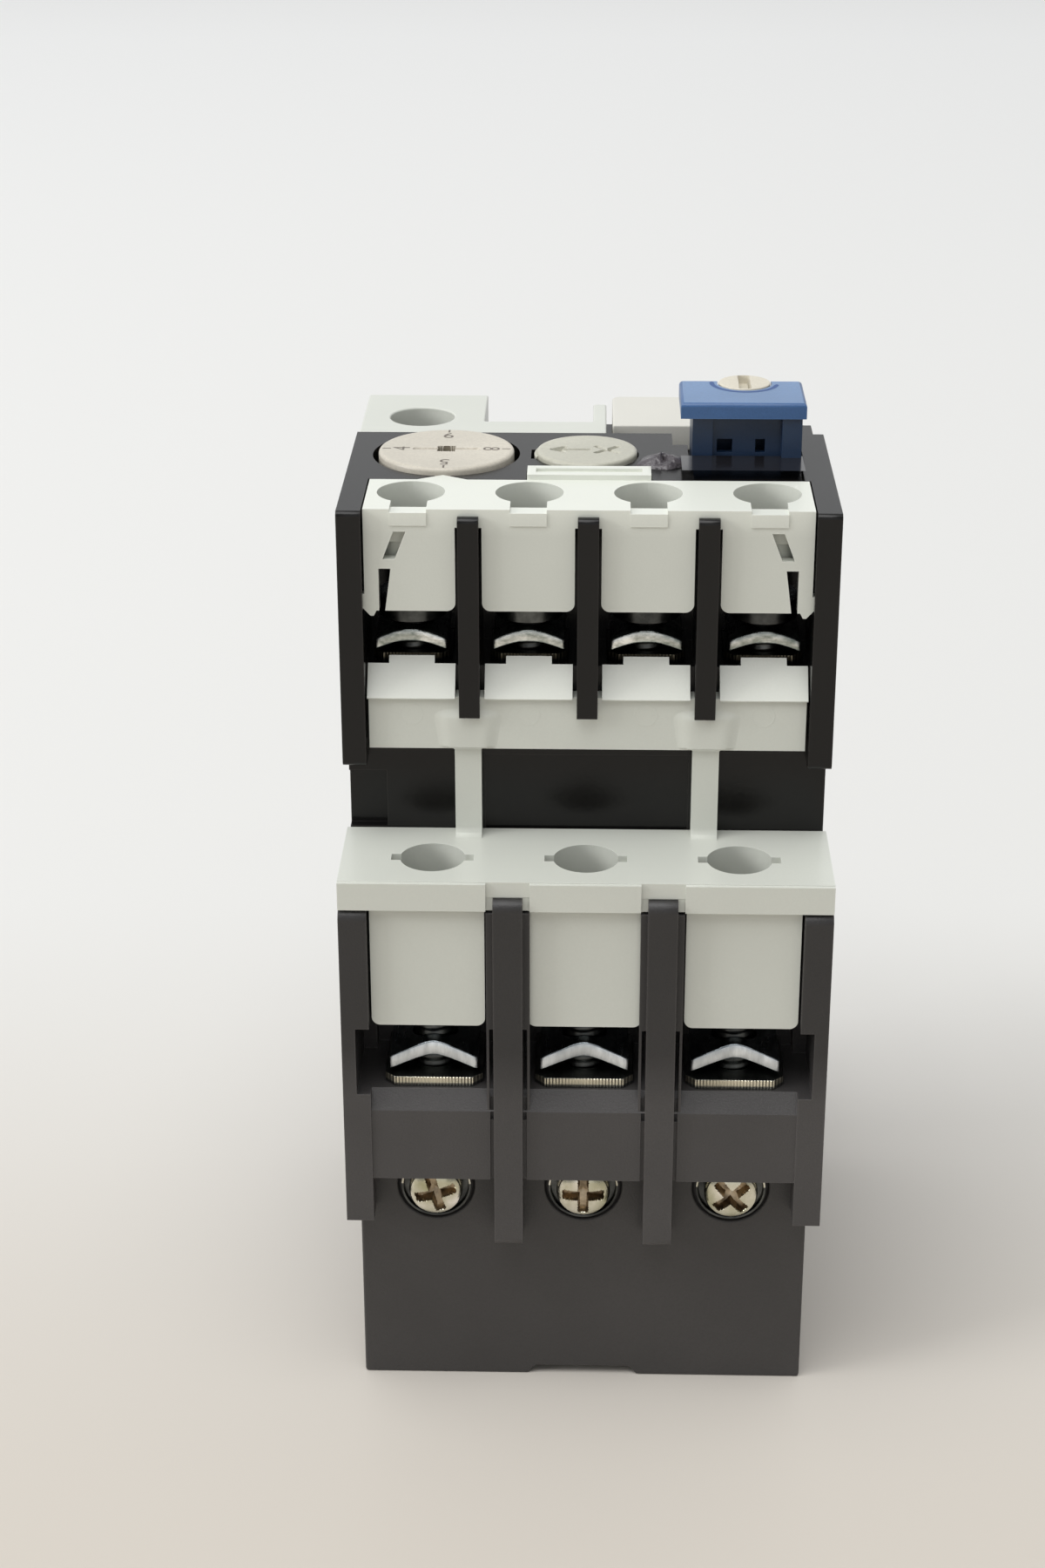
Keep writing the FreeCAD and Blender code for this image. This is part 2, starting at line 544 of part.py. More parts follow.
def front_housing():
    """Front moulding: wings and ribs round four chambers, the wells in the top, a rear deck."""
    body = new_body("front_housing")
    half = d.body_width / 2
    deck_half = d.deck_width / 2
    prism(body, "XY", d.mid_top, d.rear_deck, [
        rectangle(-deck_half, deck_half, d.face_front, d.rear_face)])
    prism(body, "XY", d.upper_foot, d.top_level, [
        rectangle(-half, half, d.face_front, d.top_rear)])
    wing_inner = half - d.aux_wing_wall
    wing = rectangle(wing_inner, half, d.upper_front, d.face_front)
    prism(body, "XY", d.upper_foot, d.top_level, [wing, mirrored(wing)])
    carve(body, "XY", d.aux_floor, d.top_level, [
        rectangle(-wing_inner, wing_inner, d.face_front, d.aux_back)])
    nose_back = d.upper_front + d.aux_rib_nose
    strip_clear = d.strip_front - d.flap_overhang - d.seat_gap
    rib = [
        (d.upper_front, d.aux_rib_foot), (strip_clear, d.aux_rib_foot),
        (strip_clear, d.flap_edge + d.seat_gap), (d.face_front, d.flap_edge + d.seat_gap),
        (d.face_front, d.aux_floor), (d.aux_back, d.aux_floor),
        (d.aux_back, d.tongue_gap_top - d.seat_gap), (nose_back, d.tongue_gap_top - d.seat_gap),
        (nose_back, d.aux_rib_top), (d.upper_front, d.aux_rib_top),
    ]
    for pole in POLES:
        middle = d.aux_pitch * pole
        prism(body, "YZ", middle - d.aux_barrier / 2, middle + d.aux_barrier / 2, [rib])
    front_wells(body)
    front_cavity(body)
    edges = edge_names(body, "x", y=d.upper_front, z=d.aux_rib_top)
    edges += edge_names(body, "x", y=d.upper_front, z=d.top_level)
    edges += edge_names(body, "x", y=d.upper_front, z=d.upper_foot)
    soften(body, d.aux_round, edges)
    return body


def front_wells(body):
    """Wells and recesses that open in the top, the face and the rear deck."""
    dial = (d.dial_x, d.dial_y, d.dial_well_radius)
    carve(body, "XY", d.dial_floor, d.top_level, [dial])
    shaft = (d.dial_x, d.dial_y, d.dial_shaft + d.running_gap)
    stem = (d.test_x, d.test_y, d.test_stem + d.running_gap)
    plunger = (d.plunger_x, d.selector_y, d.plunger_radius + d.running_gap)
    carve(body, "XY", d.roof_foot, d.dial_floor, [shaft, stem, plunger])
    carve(body, "XY", d.test_well_floor, d.top_level, [
        (d.test_x, d.test_y, d.test_radius + d.slot_gap)])
    tab_half = d.test_tab_width / 2 + d.slot_gap
    tab_left = d.test_x - d.test_radius - d.test_tab_reach - d.slot_gap * 2
    carve(body, "XY", d.test_well_floor, d.top_level, [
        rectangle(tab_left, d.test_x, d.test_y - tab_half, d.test_y + tab_half)])
    well = rectangle(
        d.stem_left - d.guide_gap, d.stem_right + d.guide_gap,
        d.stem_front - d.guide_gap, d.stem_rear + d.guide_gap,
    )
    carve(body, "XY", d.well_floor, d.top_level, [well])
    leg = rectangle(
        d.stem_right - d.leg_width - d.guide_gap, d.stem_right + d.guide_gap,
        d.stem_front - d.leg_depth - d.guide_gap, d.stem_front,
    )
    carve(body, "XY", d.well_floor, d.top_level, [leg])
    notch = rectangle(d.head_left - d.notch_margin, d.stem_right + d.guide_gap, d.notch_front, d.top_rear)
    carve(body, "XY", d.rear_deck, d.top_level, [notch])
    apron = rectangle(d.stem_left, d.stem_right, d.aux_back, d.stem_front)
    carve(body, "XY", d.top_level - d.apron_sink, d.top_level, [apron])
    pointer_half = d.pointer_width / 2 + d.seat_gap
    pointer = [
        (d.dial_x - pointer_half, d.aux_back), (d.dial_x + pointer_half, d.aux_back),
        (d.dial_x, d.dial_y - d.dial_radius),
    ]
    label = centred(0, d.label_width + d.seat_gap * 2, d.aux_back, d.aux_back + d.label_depth)
    carve(body, "XY", d.top_level - d.thin_plate - d.seat_gap, d.top_level, [pointer, label])
    carve(body, "XY", d.calibration_foot, d.top_level, [
        (d.calibration_x, d.calibration_y, d.calibration_radius + d.slot_gap)])
    barb_low = d.aux_tongue_foot - d.barb_drop - d.slot_gap
    barb_high = barb_low + d.barb_height + d.slot_gap * 2
    wing_inner = d.body_width / 2 - d.aux_wing_wall
    pocket = rectangle(wing_inner - d.seat_gap, wing_inner + d.barb_reach, barb_low, barb_high)
    pocket_rear = d.aux_cover_front + d.aux_tongue_wall + d.slot_gap
    carve(body, "XZ", d.aux_cover_front - d.slot_gap, pocket_rear, [pocket, mirrored(pocket)])


def front_cavity(body):
    """The closed room for the trip mechanism and the ways into it."""
    inner_front = d.aux_back + d.wall
    inner_rear = d.rear_face - d.wall
    well_foot = d.aux_floor - d.aux_well_depth
    profile = [
        (d.face_front + d.wall, d.mid_top), (d.face_front + d.wall, well_foot - d.wall),
        (inner_front, well_foot - d.wall), (inner_front, d.roof_foot),
        (d.stem_rear, d.roof_foot), (d.stem_rear, d.rear_roof),
        (inner_rear, d.rear_roof), (inner_rear, d.mid_top),
    ]
    half = d.frame_width / 2 + d.seat_gap
    carve(body, "YZ", -half, half, [profile])
    slot_top = d.aux_floor + d.aux_plate_thickness + d.slot_gap
    slots = [
        centred(d.aux_pitch * post, d.aux_tail_width + d.slot_gap * 2, d.aux_floor, slot_top)
        for post in AUX_POSTS
    ]
    carve(body, "XZ", d.aux_back, inner_front, slots)
    well_half = d.aux_nut / 2 + d.seat_gap
    wells = [
        centred(d.aux_pitch * post, well_half * 2, d.aux_axis_y - well_half,
                d.aux_axis_y + well_half)
        for post in AUX_POSTS
    ]
    carve(body, "XY", well_foot, d.aux_floor, wells)
    room = centred(d.coil_axis_x, d.coil_room_width, d.top_rear + d.lid_wall, d.rear_face)
    carve(body, "XY", d.coil_floor, d.rear_deck, [room])
    coil_well = centred(
        d.coil_axis_x, well_half * 2, d.coil_axis_y - well_half, d.coil_axis_y + well_half)
    carve(body, "XY", d.coil_floor - d.aux_well_depth, d.coil_floor, [coil_well])
    corner = rectangle(
        -d.deck_width / 2, -d.deck_width / 2 + d.wing_wall * 1.35,
        d.mid_top + d.wall, d.upper_foot - d.wall,
    )
    carve(body, "XZ", d.face_front, d.face_front + d.lid_wall, [corner])
    panel_half = d.upright_offset - d.upright_width / 2 - d.guide_gap
    panel = rectangle(-panel_half, panel_half, d.mid_top, d.face_panel_top)
    carve(body, "XZ", d.face_front, d.face_front + d.groove_depth, [panel])


# ---------------------------------------------------------------- covers

def main_terminal_cover():
    """Step plate with keyholes, lip, tongues, uprights and the strip with its flaps."""
    body = new_body("main_terminal_cover")
    half = d.body_width / 2
    back = d.face_front - d.seat_gap
    plate_top = d.mid_top + d.cover_plate
    prism(body, "XY", d.mid_top, plate_top, [rectangle(-half, half, d.lip_front, back)])
    inner = half - d.lid_wall
    lip_back = d.lip_front + d.lip_wall
    rim_rear = d.chamber_back - d.seat_gap
    rim = [
        (-half, d.lip_front), (half, d.lip_front), (half, rim_rear), (inner, rim_rear),
        (inner, lip_back), (-inner, lip_back), (-inner, rim_rear), (-half, rim_rear),
    ]
    prism(body, "XY", d.lip_foot, d.mid_top, [rim])
    gap = d.guide_width / 2
    divide = d.main_pitch / 2
    panel_top = plate_top - d.seat_gap
    outer_panel = rectangle(divide + gap, half, d.lip_foot, panel_top)
    middle_panel = rectangle(-divide + gap, divide - gap, d.lip_foot, panel_top)
    prism(body, "XZ", d.lip_front - d.panel_height, d.lip_front, [
        outer_panel, mirrored(outer_panel), middle_panel])
    cutouts = [
        centred(d.main_pitch * side / 2, d.guide_width, d.lip_foot, d.mid_top)
        for side in SIDES
    ]
    carve(body, "XZ", d.lip_front, lip_back, cutouts)
    tongue_front = d.lip_front + d.lip_wall / 2
    tongue_pitch = d.main_pitch + d.tongue_shift
    tongues = [
        centred(tongue_pitch * pole, d.tongue_width, d.main_tongue_foot, d.mid_top)
        for pole in POLES
    ]
    tongue_back = tongue_front + d.main_tongue_wall
    prism(body, "XZ", tongue_front, tongue_back, tongues)
    sleeve_half = d.main_hole_radius + d.sleeve_wall
    sleeves = [
        centred(d.main_pitch * pole, sleeve_half * 2, d.main_axis_y - sleeve_half,
                d.main_axis_y + sleeve_half)
        for pole in POLES
    ]
    prism(body, "XY", d.main_sleeve_foot, d.mid_top, sleeves)
    holes = [(d.main_pitch * pole, d.main_axis_y, d.main_hole_radius) for pole in POLES]
    carve(body, "XY", d.main_sleeve_foot, plate_top, holes)
    slot_half = d.keyhole_width / 2
    keyholes = [
        centred(d.main_pitch * pole, d.keyhole_length,
                d.main_axis_y - slot_half, d.main_axis_y + slot_half)
        for pole in POLES
    ]
    carve(body, "XY", d.mid_top + d.groove_depth, plate_top, keyholes)
    cross_strip(body, plate_top, back)
    soften(body, d.rounding, edge_names(body, "y", z=d.main_tongue_foot))
    return body


def cross_strip(body, plate_top, back):
    """Two uprights that flare into the strip, and four sloped flaps on its upper edge."""
    upright_front = back - d.upright_depth
    proud = d.strip_front - d.flare_proud
    upright = [
        (back, plate_top), (upright_front - d.foot_round, plate_top),
        (upright_front - d.foot_round / 3, plate_top + d.foot_round / 3),
        (upright_front, plate_top + d.foot_round), (upright_front, d.strip_foot - d.foot_round),
        (proud, d.flare_level), (proud, d.flare_top), (back, d.flare_top),
    ]
    for side in SIDES:
        middle = d.upright_offset * side
        low = middle - d.upright_width / 2
        prism(body, "YZ", low, low + d.upright_width, [upright])
    strip_half = d.strip_width / 2
    prism(body, "XZ", d.strip_front, back, [
        rectangle(-strip_half, strip_half, d.strip_foot, d.flap_edge)])
    flare_half = d.flare_width / 2
    narrow = d.upright_width / 2
    for side in SIDES:
        middle = d.upright_offset * side
        flare = [
            (middle - narrow, d.strip_foot), (middle + narrow, d.strip_foot),
            (middle + flare_half, d.flare_level), (middle + flare_half, d.flare_top),
            (middle - flare_half, d.flare_top), (middle - flare_half, d.flare_level),
        ]
        prism(body, "XZ", proud, d.strip_front, [flare])
    edge_front = d.strip_front - d.flap_overhang
    flap = [(edge_front, d.flap_edge), (back, d.flap_top), (back, d.flap_edge - d.seat_gap),
            (edge_front, d.flap_edge - d.seat_gap)]
    tab_front = back - d.flap_tab_reach
    tab_back = back + d.flap_tab_reach
    tab_top = d.flap_top + d.flap_tab_rise
    tab = [
        (tab_front, d.flap_top - d.flap_tab_rise), (tab_back, tab_top),
        (tab_back, d.aux_floor + d.seat_gap), (back, d.aux_floor + d.seat_gap),
        (back, d.flap_top - d.flap_tab_rise),
    ]
    for post in AUX_POSTS:
        middle = d.aux_pitch * post
        low = middle - d.flap_width / 2
        prism(body, "YZ", low, low + d.flap_width, [flap])
        low = middle - d.flap_tab_width / 2
        prism(body, "YZ", low, low + d.flap_tab_width, [tab])


def aux_terminal_cover():
    """Plate with four notched holes, front wall with tongues and snap arms, pointer, label."""
    body = new_body("aux_terminal_cover")
    half = d.aux_cover_width / 2
    back = d.aux_back - d.seat_gap
    front = d.aux_cover_front
    wall_back = front + d.aux_tongue_wall
    prism(body, "XY", d.top_level - d.aux_cover_plate, d.top_level, [
        rectangle(-half, half, front, back)])
    prism(body, "XZ", front, wall_back, [
        rectangle(-half, half, d.aux_tongue_foot, d.top_level)])
    gaps = [
        centred(d.aux_pitch * pole, d.tongue_gap, d.aux_tongue_foot, d.tongue_gap_top)
        for pole in POLES
    ]
    carve(body, "XZ", front, wall_back, gaps)
    sleeve_half = d.aux_hole_radius + d.sleeve_wall
    sleeves = [
        centred(d.aux_pitch * post, sleeve_half * 2, wall_back, d.aux_axis_y + sleeve_half)
        for post in AUX_POSTS
    ]
    prism(body, "XY", d.aux_sleeve_foot, d.top_level - d.aux_cover_plate, sleeves)
    holes = [(d.aux_pitch * post, d.aux_axis_y, d.aux_hole_radius) for post in AUX_POSTS]
    carve(body, "XY", d.aux_sleeve_foot, d.top_level, holes)
    notch_front = d.aux_axis_y - d.aux_notch_depth
    notches = [
        centred(d.aux_pitch * post, d.aux_notch_width, front, d.aux_axis_y)
        for post in AUX_POSTS
    ]
    carve(body, "XY", d.top_level - d.aux_cover_plate, d.top_level, notches)
    tabs = [
        centred(d.aux_pitch * post, d.aux_notch_width, front - d.tab_proud, notch_front)
        for post in AUX_POSTS
    ]
    prism(body, "XY", d.top_level - d.aux_cover_plate, d.top_level - d.tab_drop, tabs)
    pointer_half = d.pointer_width / 2
    pointer = [
        (d.dial_x - pointer_half, back), (d.dial_x + pointer_half, back),
        (d.dial_x, d.dial_y - d.dial_radius - d.pointer_gap),
    ]
    prism(body, "XY", d.top_level - d.thin_plate, d.top_level, [pointer])
    label_rear = back + d.label_depth
    label_top = d.top_level + d.label_proud
    prism(body, "XY", d.top_level - d.thin_plate, label_top, [
        centred(0, d.label_width, back, label_rear)])
    inset = d.label_width - d.label_frame * 2
    carve(body, "XY", label_top - d.label_sink, label_top, [
        centred(0, inset, back + d.label_frame, label_rear - d.label_frame)])
    snap_arms(body, half, front, wall_back)
    corners = [
        name for pole in POLES for side in SIDES
        for name in edge_names(
            body, "y", z=d.aux_tongue_foot, x=d.aux_pitch * pole + d.tongue_gap * side / 2)
    ]
    soften(body, d.rounding, corners)
    return body


def snap_arms(body, half, front, wall_back):
    """Slanted slots that free an arm with a barb at each end of the front wall."""
    arm_inner = half - d.snap_arm
    slot_foot = arm_inner - d.seat_gap * 4
    upper = [
        (slot_foot - d.snap_slit - d.snap_slant, d.snap_top),
        (slot_foot - d.snap_slant, d.snap_top),
        (slot_foot, d.snap_bridge_top), (slot_foot - d.snap_slit, d.snap_bridge_top),
    ]
    lower_top = d.snap_bridge_top - d.snap_bridge
    lower = [
        (arm_inner - d.snap_slit, lower_top), (arm_inner, lower_top),
        (arm_inner, d.aux_tongue_foot), (arm_inner - d.snap_slit / 2, d.aux_tongue_foot),
    ]
    carve(body, "XZ", front, wall_back, [upper, mirrored(upper), lower, mirrored(lower)])
    barb_foot = d.aux_tongue_foot - d.barb_drop
    barb = [
        (arm_inner, d.aux_tongue_foot + d.barb_drop), (arm_inner + d.barb_drop, barb_foot),
        (half - d.barb_drop, barb_foot), (half + d.barb_reach, barb_foot + d.barb_height / 2),
        (half + d.barb_reach - d.seat_gap, barb_foot + d.barb_height - d.slot_gap),
        (half - d.barb_drop, barb_foot + d.barb_height - d.slot_gap),
    ]
    prism(body, "XZ", front, wall_back, [barb, mirrored(barb)])


def coil_terminal_cover():
    """Cap over the coil terminal with a bar and an arm beside the marker plate."""
    body = new_body("coil_terminal_cover")
    front = d.top_rear + d.seat_gap
    cap = rectangle(d.coil_cover_left, d.coil_cover_right, front, d.coil_cover_rear)
    prism(body, "XY", d.rear_deck, d.top_level, [cap])
    arm_left = d.coil_bar_right - d.coil_arm_wall
    bar = [
        (d.coil_cover_right, front), (d.coil_bar_right, front),
        (d.coil_bar_right, d.coil_arm_rear), (arm_left, d.coil_arm_rear),
        (arm_left, d.coil_bar_rear), (d.coil_cover_right, d.coil_bar_rear),
    ]
    prism(body, "XY", d.rear_deck, d.top_level, [bar])
    carve(body, "XY", d.rear_deck, d.top_level, [
        (d.coil_axis_x, d.coil_axis_y, d.coil_hole_radius)])
    tongue = rectangle(
        d.coil_cover_left, d.coil_cover_right, d.coil_tongue_foot, d.rear_deck)
    prism(body, "XZ", d.rear_face + d.seat_gap, d.coil_cover_rear, [tongue])
    edges = edge_names(body, "y", z=d.coil_tongue_foot)
    soften(body, d.rounding, edges)
    return body


def marker_plate():
    """Plain plate behind the reset button, on the rear deck."""
    body = new_body("marker_plate")
    plate = rectangle(d.marker_left, d.marker_right, d.marker_front, d.marker_rear)
    prism(body, "XY", d.rear_deck, d.top_level, [plate])
    edges = edge_names(body, "z", y=d.marker_rear)
    soften(body, d.rounding, edges)
    return body


# ---------------------------------------------------------------- terminals

def screw(label, shank, shank_end, head_radius, head_foot, head_height):
    """A cross-slot screw with a chamfered head, about its own Z axis."""
    body = new_body(label)
    head_top = head_foot + head_height
    turned(body, [
        (0, shank_end), (shank, shank_end), (shank, head_foot), (head_radius, head_foot),
        (head_radius, head_top - d.head_chamfer), (head_radius - d.head_chamfer, head_top),
        (0, head_top),
    ])
    cross_recess(body, head_top)
    return body


def clamp(label, width, depth, thickness, apex, rise, hole_radius, axis_y):
    """A folded roof-shaped clamp with a hole for its screw."""
    body = new_body(label)
    half = width / 2
    knee = half / 4
    crown = rise / 8
    roof = [
        (-half, apex - rise), (-knee, apex - crown), (knee, apex - crown), (half, apex - rise),
        (half, apex - rise - thickness), (knee, apex - crown - thickness),
        (-knee, apex - crown - thickness), (-half, apex - rise - thickness),
    ]
    prism(body, "XZ", axis_y - depth / 2, axis_y + depth / 2, [roof])
    carve(body, "XY", apex - rise - thickness, apex, [(0, axis_y, hole_radius)])
    return body


def contact_plate(label, axis_y, front, back, tail_end, floor, widths, thickness, nut, bore):
    """A base plate with a square nut under it and a tail into the housing."""
    body = new_body(label)
    half = widths[0] / 2
    tail_half = widths[1] / 2
    corner = half - d.main_plate_chamfer
    outline = [
        (-corner, front), (corner, front), (half, front + d.main_plate_chamfer), (half, back),
        (tail_half, back), (tail_half, tail_end), (-tail_half, tail_end), (-tail_half, back),
        (-half, back), (-half, front + d.main_plate_chamfer),
    ]
    prism(body, "XY", floor, floor + thickness, [outline])
    nut_half = nut[0] / 2
    prism(body, "XY", floor - nut[1], floor, [
        centred(0, nut[0], axis_y - nut_half, axis_y + nut_half)])
    carve(body, "XY", floor - nut[1], floor + thickness, [(0, axis_y, bore)])
    return body


def main_terminals():
    """Screw, clamp and contact plate of each pole."""
    nodes = []
    for number, pole in enumerate(POLES, start=1):
        x = d.main_pitch * pole
        part = screw(
            f"main_screw_{number}", d.main_shank, d.main_shank_end, d.main_head_radius,
            d.main_head_foot, d.main_head_height)
        nodes.append(place(part, x, d.main_axis_y))
        part = clamp(
            f"main_clamp_{number}", d.main_clamp_width, d.main_clamp_depth,
            d.main_clamp_thickness, d.main_clamp_apex, d.main_clamp_rise,
            d.main_shank + d.seat_gap, d.main_axis_y)
        nodes.append(place(part, x))
        part = contact_plate(
            f"main_plate_{number}", d.main_axis_y, d.sill_front + d.guide_gap,
            d.chamber_back - d.seat_gap, d.main_tail_end, d.sill_level,
            (d.main_plate_width, d.main_tail_width), d.main_plate_thickness,
            (d.main_nut, d.main_nut_height), d.main_shank + d.running_gap)
        nodes.append(place(part, x))
    return nodes


def aux_terminals():
    """Screw, clamp and contact plate of each auxiliary terminal."""
    nodes = []
    for number, post in enumerate(AUX_POSTS, start=1):
        x = d.aux_pitch * post
        part = screw(
            f"aux_screw_{number}", d.aux_shank, d.aux_shank_end, d.aux_head_radius,
            d.aux_head_foot, d.aux_head_height)
        nodes.append(place(part, x, d.aux_axis_y))
        part = clamp(
            f"aux_clamp_{number}", d.aux_clamp_width, d.aux_clamp_depth,
            d.aux_clamp_thickness, d.aux_clamp_apex, d.aux_clamp_rise,
            d.aux_shank + d.seat_gap, d.aux_axis_y)
        nodes.append(place(part, x))
        part = contact_plate(
            f"aux_plate_{number}", d.aux_axis_y, d.face_front + d.flap_tab_reach,
            d.aux_back - d.seat_gap, d.aux_tail_end, d.aux_floor,
            (d.aux_plate_width, d.aux_tail_width), d.aux_plate_thickness,
            (d.aux_nut, d.aux_nut_height), d.aux_shank + d.running_gap)
        nodes.append(place(part, x))
    return nodes


def coil_terminal():
    """The coil terminal: the auxiliary pieces again, on the rear deck's floor."""
    lift = d.coil_floor - d.aux_floor
    slide = d.coil_axis_y - d.aux_axis_y
    part = screw(
        "coil_screw", d.aux_shank, d.aux_shank_end, d.aux_head_radius, d.aux_head_foot,
        d.aux_head_height)
    nodes = [place(part, d.coil_axis_x, d.coil_axis_y, lift)]
    part = clamp(
        "coil_clamp", d.aux_clamp_width, d.aux_clamp_depth, d.aux_clamp_thickness,
        d.aux_clamp_apex, d.aux_clamp_rise, d.aux_shank + d.seat_gap, d.aux_axis_y)
    nodes.append(place(part, d.coil_axis_x, slide, lift))
    room_front = d.top_rear + d.lid_wall + d.seat_gap
    part = contact_plate(
        "coil_plate", d.coil_axis_y, room_front, d.rear_face - d.aux_tail_width,
        d.rear_face - d.guide_gap, d.coil_floor, (d.aux_plate_width, d.aux_tail_width),
        d.aux_plate_thickness, (d.aux_nut, d.aux_nut_height),
        d.aux_shank + d.running_gap)
    nodes.append(place(part, d.coil_axis_x))
    return nodes


def fixing_screws():
    """Three pan-head screws along +Y, and the rings under their heads."""
    ring_front = d.base_front + d.ring_recess - d.ring_thickness
    screws = []
    rings = []
    for number, pole in enumerate(POLES, start=1):
        length = d.fixing_end - ring_front
        body = new_body(f"fixing_screw_{number}")
        turned(body, [
            (0, -length), (d.fixing_shank, -length), (d.fixing_shank, 0),
            (d.fixing_head_radius, 0), (d.fixing_head_radius, d.fixing_head_height / 2),
            (d.fixing_head_radius * 0.7, d.fixing_head_height), (0, d.fixing_head_height),
        ])
        cross_recess(body, d.fixing_head_height)
        body.Placement.Rotation = Rotation(Vector(1, 0, 0), 90)
        screws.append(place(body, d.main_pitch * pole, ring_front, d.fixing_level))
        ring = new_body(f"fixing_ring_{number}")
        turned(ring, [
            (d.fixing_shank + d.seat_gap, 0), (d.ring_radius, 0), (d.ring_radius, d.ring_thickness),
            (d.fixing_shank + d.seat_gap, d.ring_thickness),
        ])
        ring.Placement.Rotation = Rotation(Vector(1, 0, 0), 90)
        y = d.base_front + d.ring_recess
        rings.append(place(ring, d.main_pitch * pole, y, d.fixing_level))
    nodes = []
    for label, members in (("fixing_screws", screws), ("fixing_rings", rings)):
        group = doc.addObject("Part::Compound", label)
        group.Label = label
        group.Links = members
        nodes.append(group)
    return nodes


# ---------------------------------------------------------------- controls

def setting_dial():
    """Disc with a square socket on a round shaft."""
    body = new_body("setting_dial")
    rim = d.dial_radius
    turned(body, [
        (0, d.cam_foot), (d.dial_shaft, d.cam_foot), (d.dial_shaft, d.dial_foot),
        (rim, d.dial_foot), (rim, d.dial_top - d.dial_chamfer),
        (rim - d.dial_chamfer, d.dial_top), (0, d.dial_top),
    ])
    half = d.dial_socket / 2
    carve(body, "XY", d.dial_top - d.dial_socket_depth, d.dial_top, [
        rectangle(-half, half, -half, half)])
    return place(body, d.dial_x, d.dial_y)


def setting_cam():
    """Eccentric pressed on the dial's shaft under the roof of the mechanism room."""
    body = new_body("setting_cam")
    top = d.cam_foot + d.cam_height
    prism(body, "XY", d.cam_foot, top, [(d.cam_offset, 0, d.cam_radius)])
    carve(body, "XY", d.cam_foot, top, [(0, 0, d.dial_shaft)])
    return place(body, d.dial_x, d.dial_y)


def test_button():
    """Disc with a small tab, on a long stem."""
    body = new_body("test_button")
    rim = d.test_radius
    top = d.dial_top
    turned(body, [
        (0, d.test_stem_end), (d.test_stem, d.test_stem_end), (d.test_stem, d.test_foot),
        (rim, d.test_foot), (rim, top - d.dial_chamfer), (rim - d.dial_chamfer, top), (0, top),
    ])
    half = d.test_tab_width / 2
    prism(body, "XY", d.test_foot, top - d.dial_chamfer, [
        rectangle(-rim - d.test_tab_reach, 0, -half, half)])
    return place(body, d.test_x, d.test_y)


def coil_spring(label, x, y, foot, top, radius, wire, turns):
    """A compression spring, swept along a helix between two seats."""
    pitch = (top.value - foot.value - 2 * wire.value) / turns.value
    helix = Part.makeHelix(pitch, pitch * turns.value, radius.value)
    helix.translate(Vector(0, 0, wire.value))
    start = Vector(radius.value, 0, wire.value)
    rise = pitch / (2 * math.pi * radius.value)
    section = Part.Wire(Part.makePolygon([
        start + Vector(wire.value * math.cos(a), -rise * wire.value * math.sin(a),
                       wire.value * math.sin(a))
        for a in [math.tau * step / 4 for step in range(5)]
    ]))
    spring = doc.addObject("Part::Feature", label)
    spring.Label = label
    spring.Shape = Part.Wire(helix).makePipeShell([section], True, True)
    spring.Placement = Placement(Vector(x.value, y.value, foot.value), Rotation())
    return spring


def test_spring():
    """Spring between the well's floor and the test button."""
    return coil_spring(
        "test_spring", d.test_x, d.test_y, d.test_well_floor, d.test_foot,
        d.test_spring_radius, d.spring_wire, d.test_spring_turns)


def reset_button():
    """Head on a stem with a leg, a sunk front panel, two windows and a plunger."""
    body = new_body("reset_button")
    stem = rectangle(d.stem_left, d.stem_right, d.stem_front, d.stem_rear)
    prism(body, "XY", d.stem_foot, d.head_foot, [stem])
    leg = rectangle(
        d.stem_right - d.leg_width, d.stem_right, d.stem_front - d.leg_depth, d.stem_front)
    prism(body, "XY", d.stem_foot, d.head_foot, [leg])
    prism(body, "XY", d.head_foot, d.head_top, [
        rectangle(d.head_left, d.head_right, d.head_front, d.head_rear)])
    carve(body, "XY", d.selector_foot - d.seat_gap, d.head_top, [
        (d.selector_x, d.selector_y, d.selector_radius + d.slot_gap)])
    carve(body, "XY", d.selector_shaft_end, d.head_foot, [
        (d.selector_x, d.selector_y, d.selector_shaft + d.running_gap)])
    room = rectangle(
        d.stem_left + d.stem_wall, d.stem_right - d.stem_wall,
        d.stem_front + d.stem_wall, d.spring_room_rear,
    )
    carve(body, "XY", d.stem_foot, d.spring_room_top, [room])
    panel_left = d.stem_left + d.panel_inset
    panel = rectangle(
        panel_left, d.stem_right - d.leg_width, d.stem_foot, d.head_foot - d.panel_sink)
    carve(body, "XZ", d.stem_front, d.stem_front + d.panel_sink, [panel])
    window_top = d.window_foot + d.window_height
    windows = [
        rectangle(panel_left + d.panel_sink, panel_left + d.leg_width,
                  d.window_foot, window_top),
        rectangle(d.selector_x + d.selector_slot, d.selector_x + d.selector_slot * 2,
                  d.window_foot, window_top),
    ]
    carve(body, "XZ", d.stem_front, d.stem_front + d.stem_wall, windows)
    prism(body, "XY", d.plunger_end, d.stem_foot, [
        (d.plunger_x, d.selector_y, d.plunger_radius)])
    edges = edge_names(body, "y", z=d.head_top, x=d.head_left)
    edges += edge_names(body, "y", z=d.head_top, x=d.head_right)
    edges += edge_names(body, "x", z=d.head_top, y=d.head_front)
    soften(body, d.head_round, edges)
    return body


def reset_spring():
    """Spring in the hollow of the reset button's stem."""
    y = (d.stem_front + d.stem_wall + d.spring_room_rear) / 2
    return coil_spring(
        "reset_spring", d.selector_x, y, d.well_floor, d.spring_room_top,
        d.reset_spring_radius, d.spring_wire, d.reset_spring_turns)


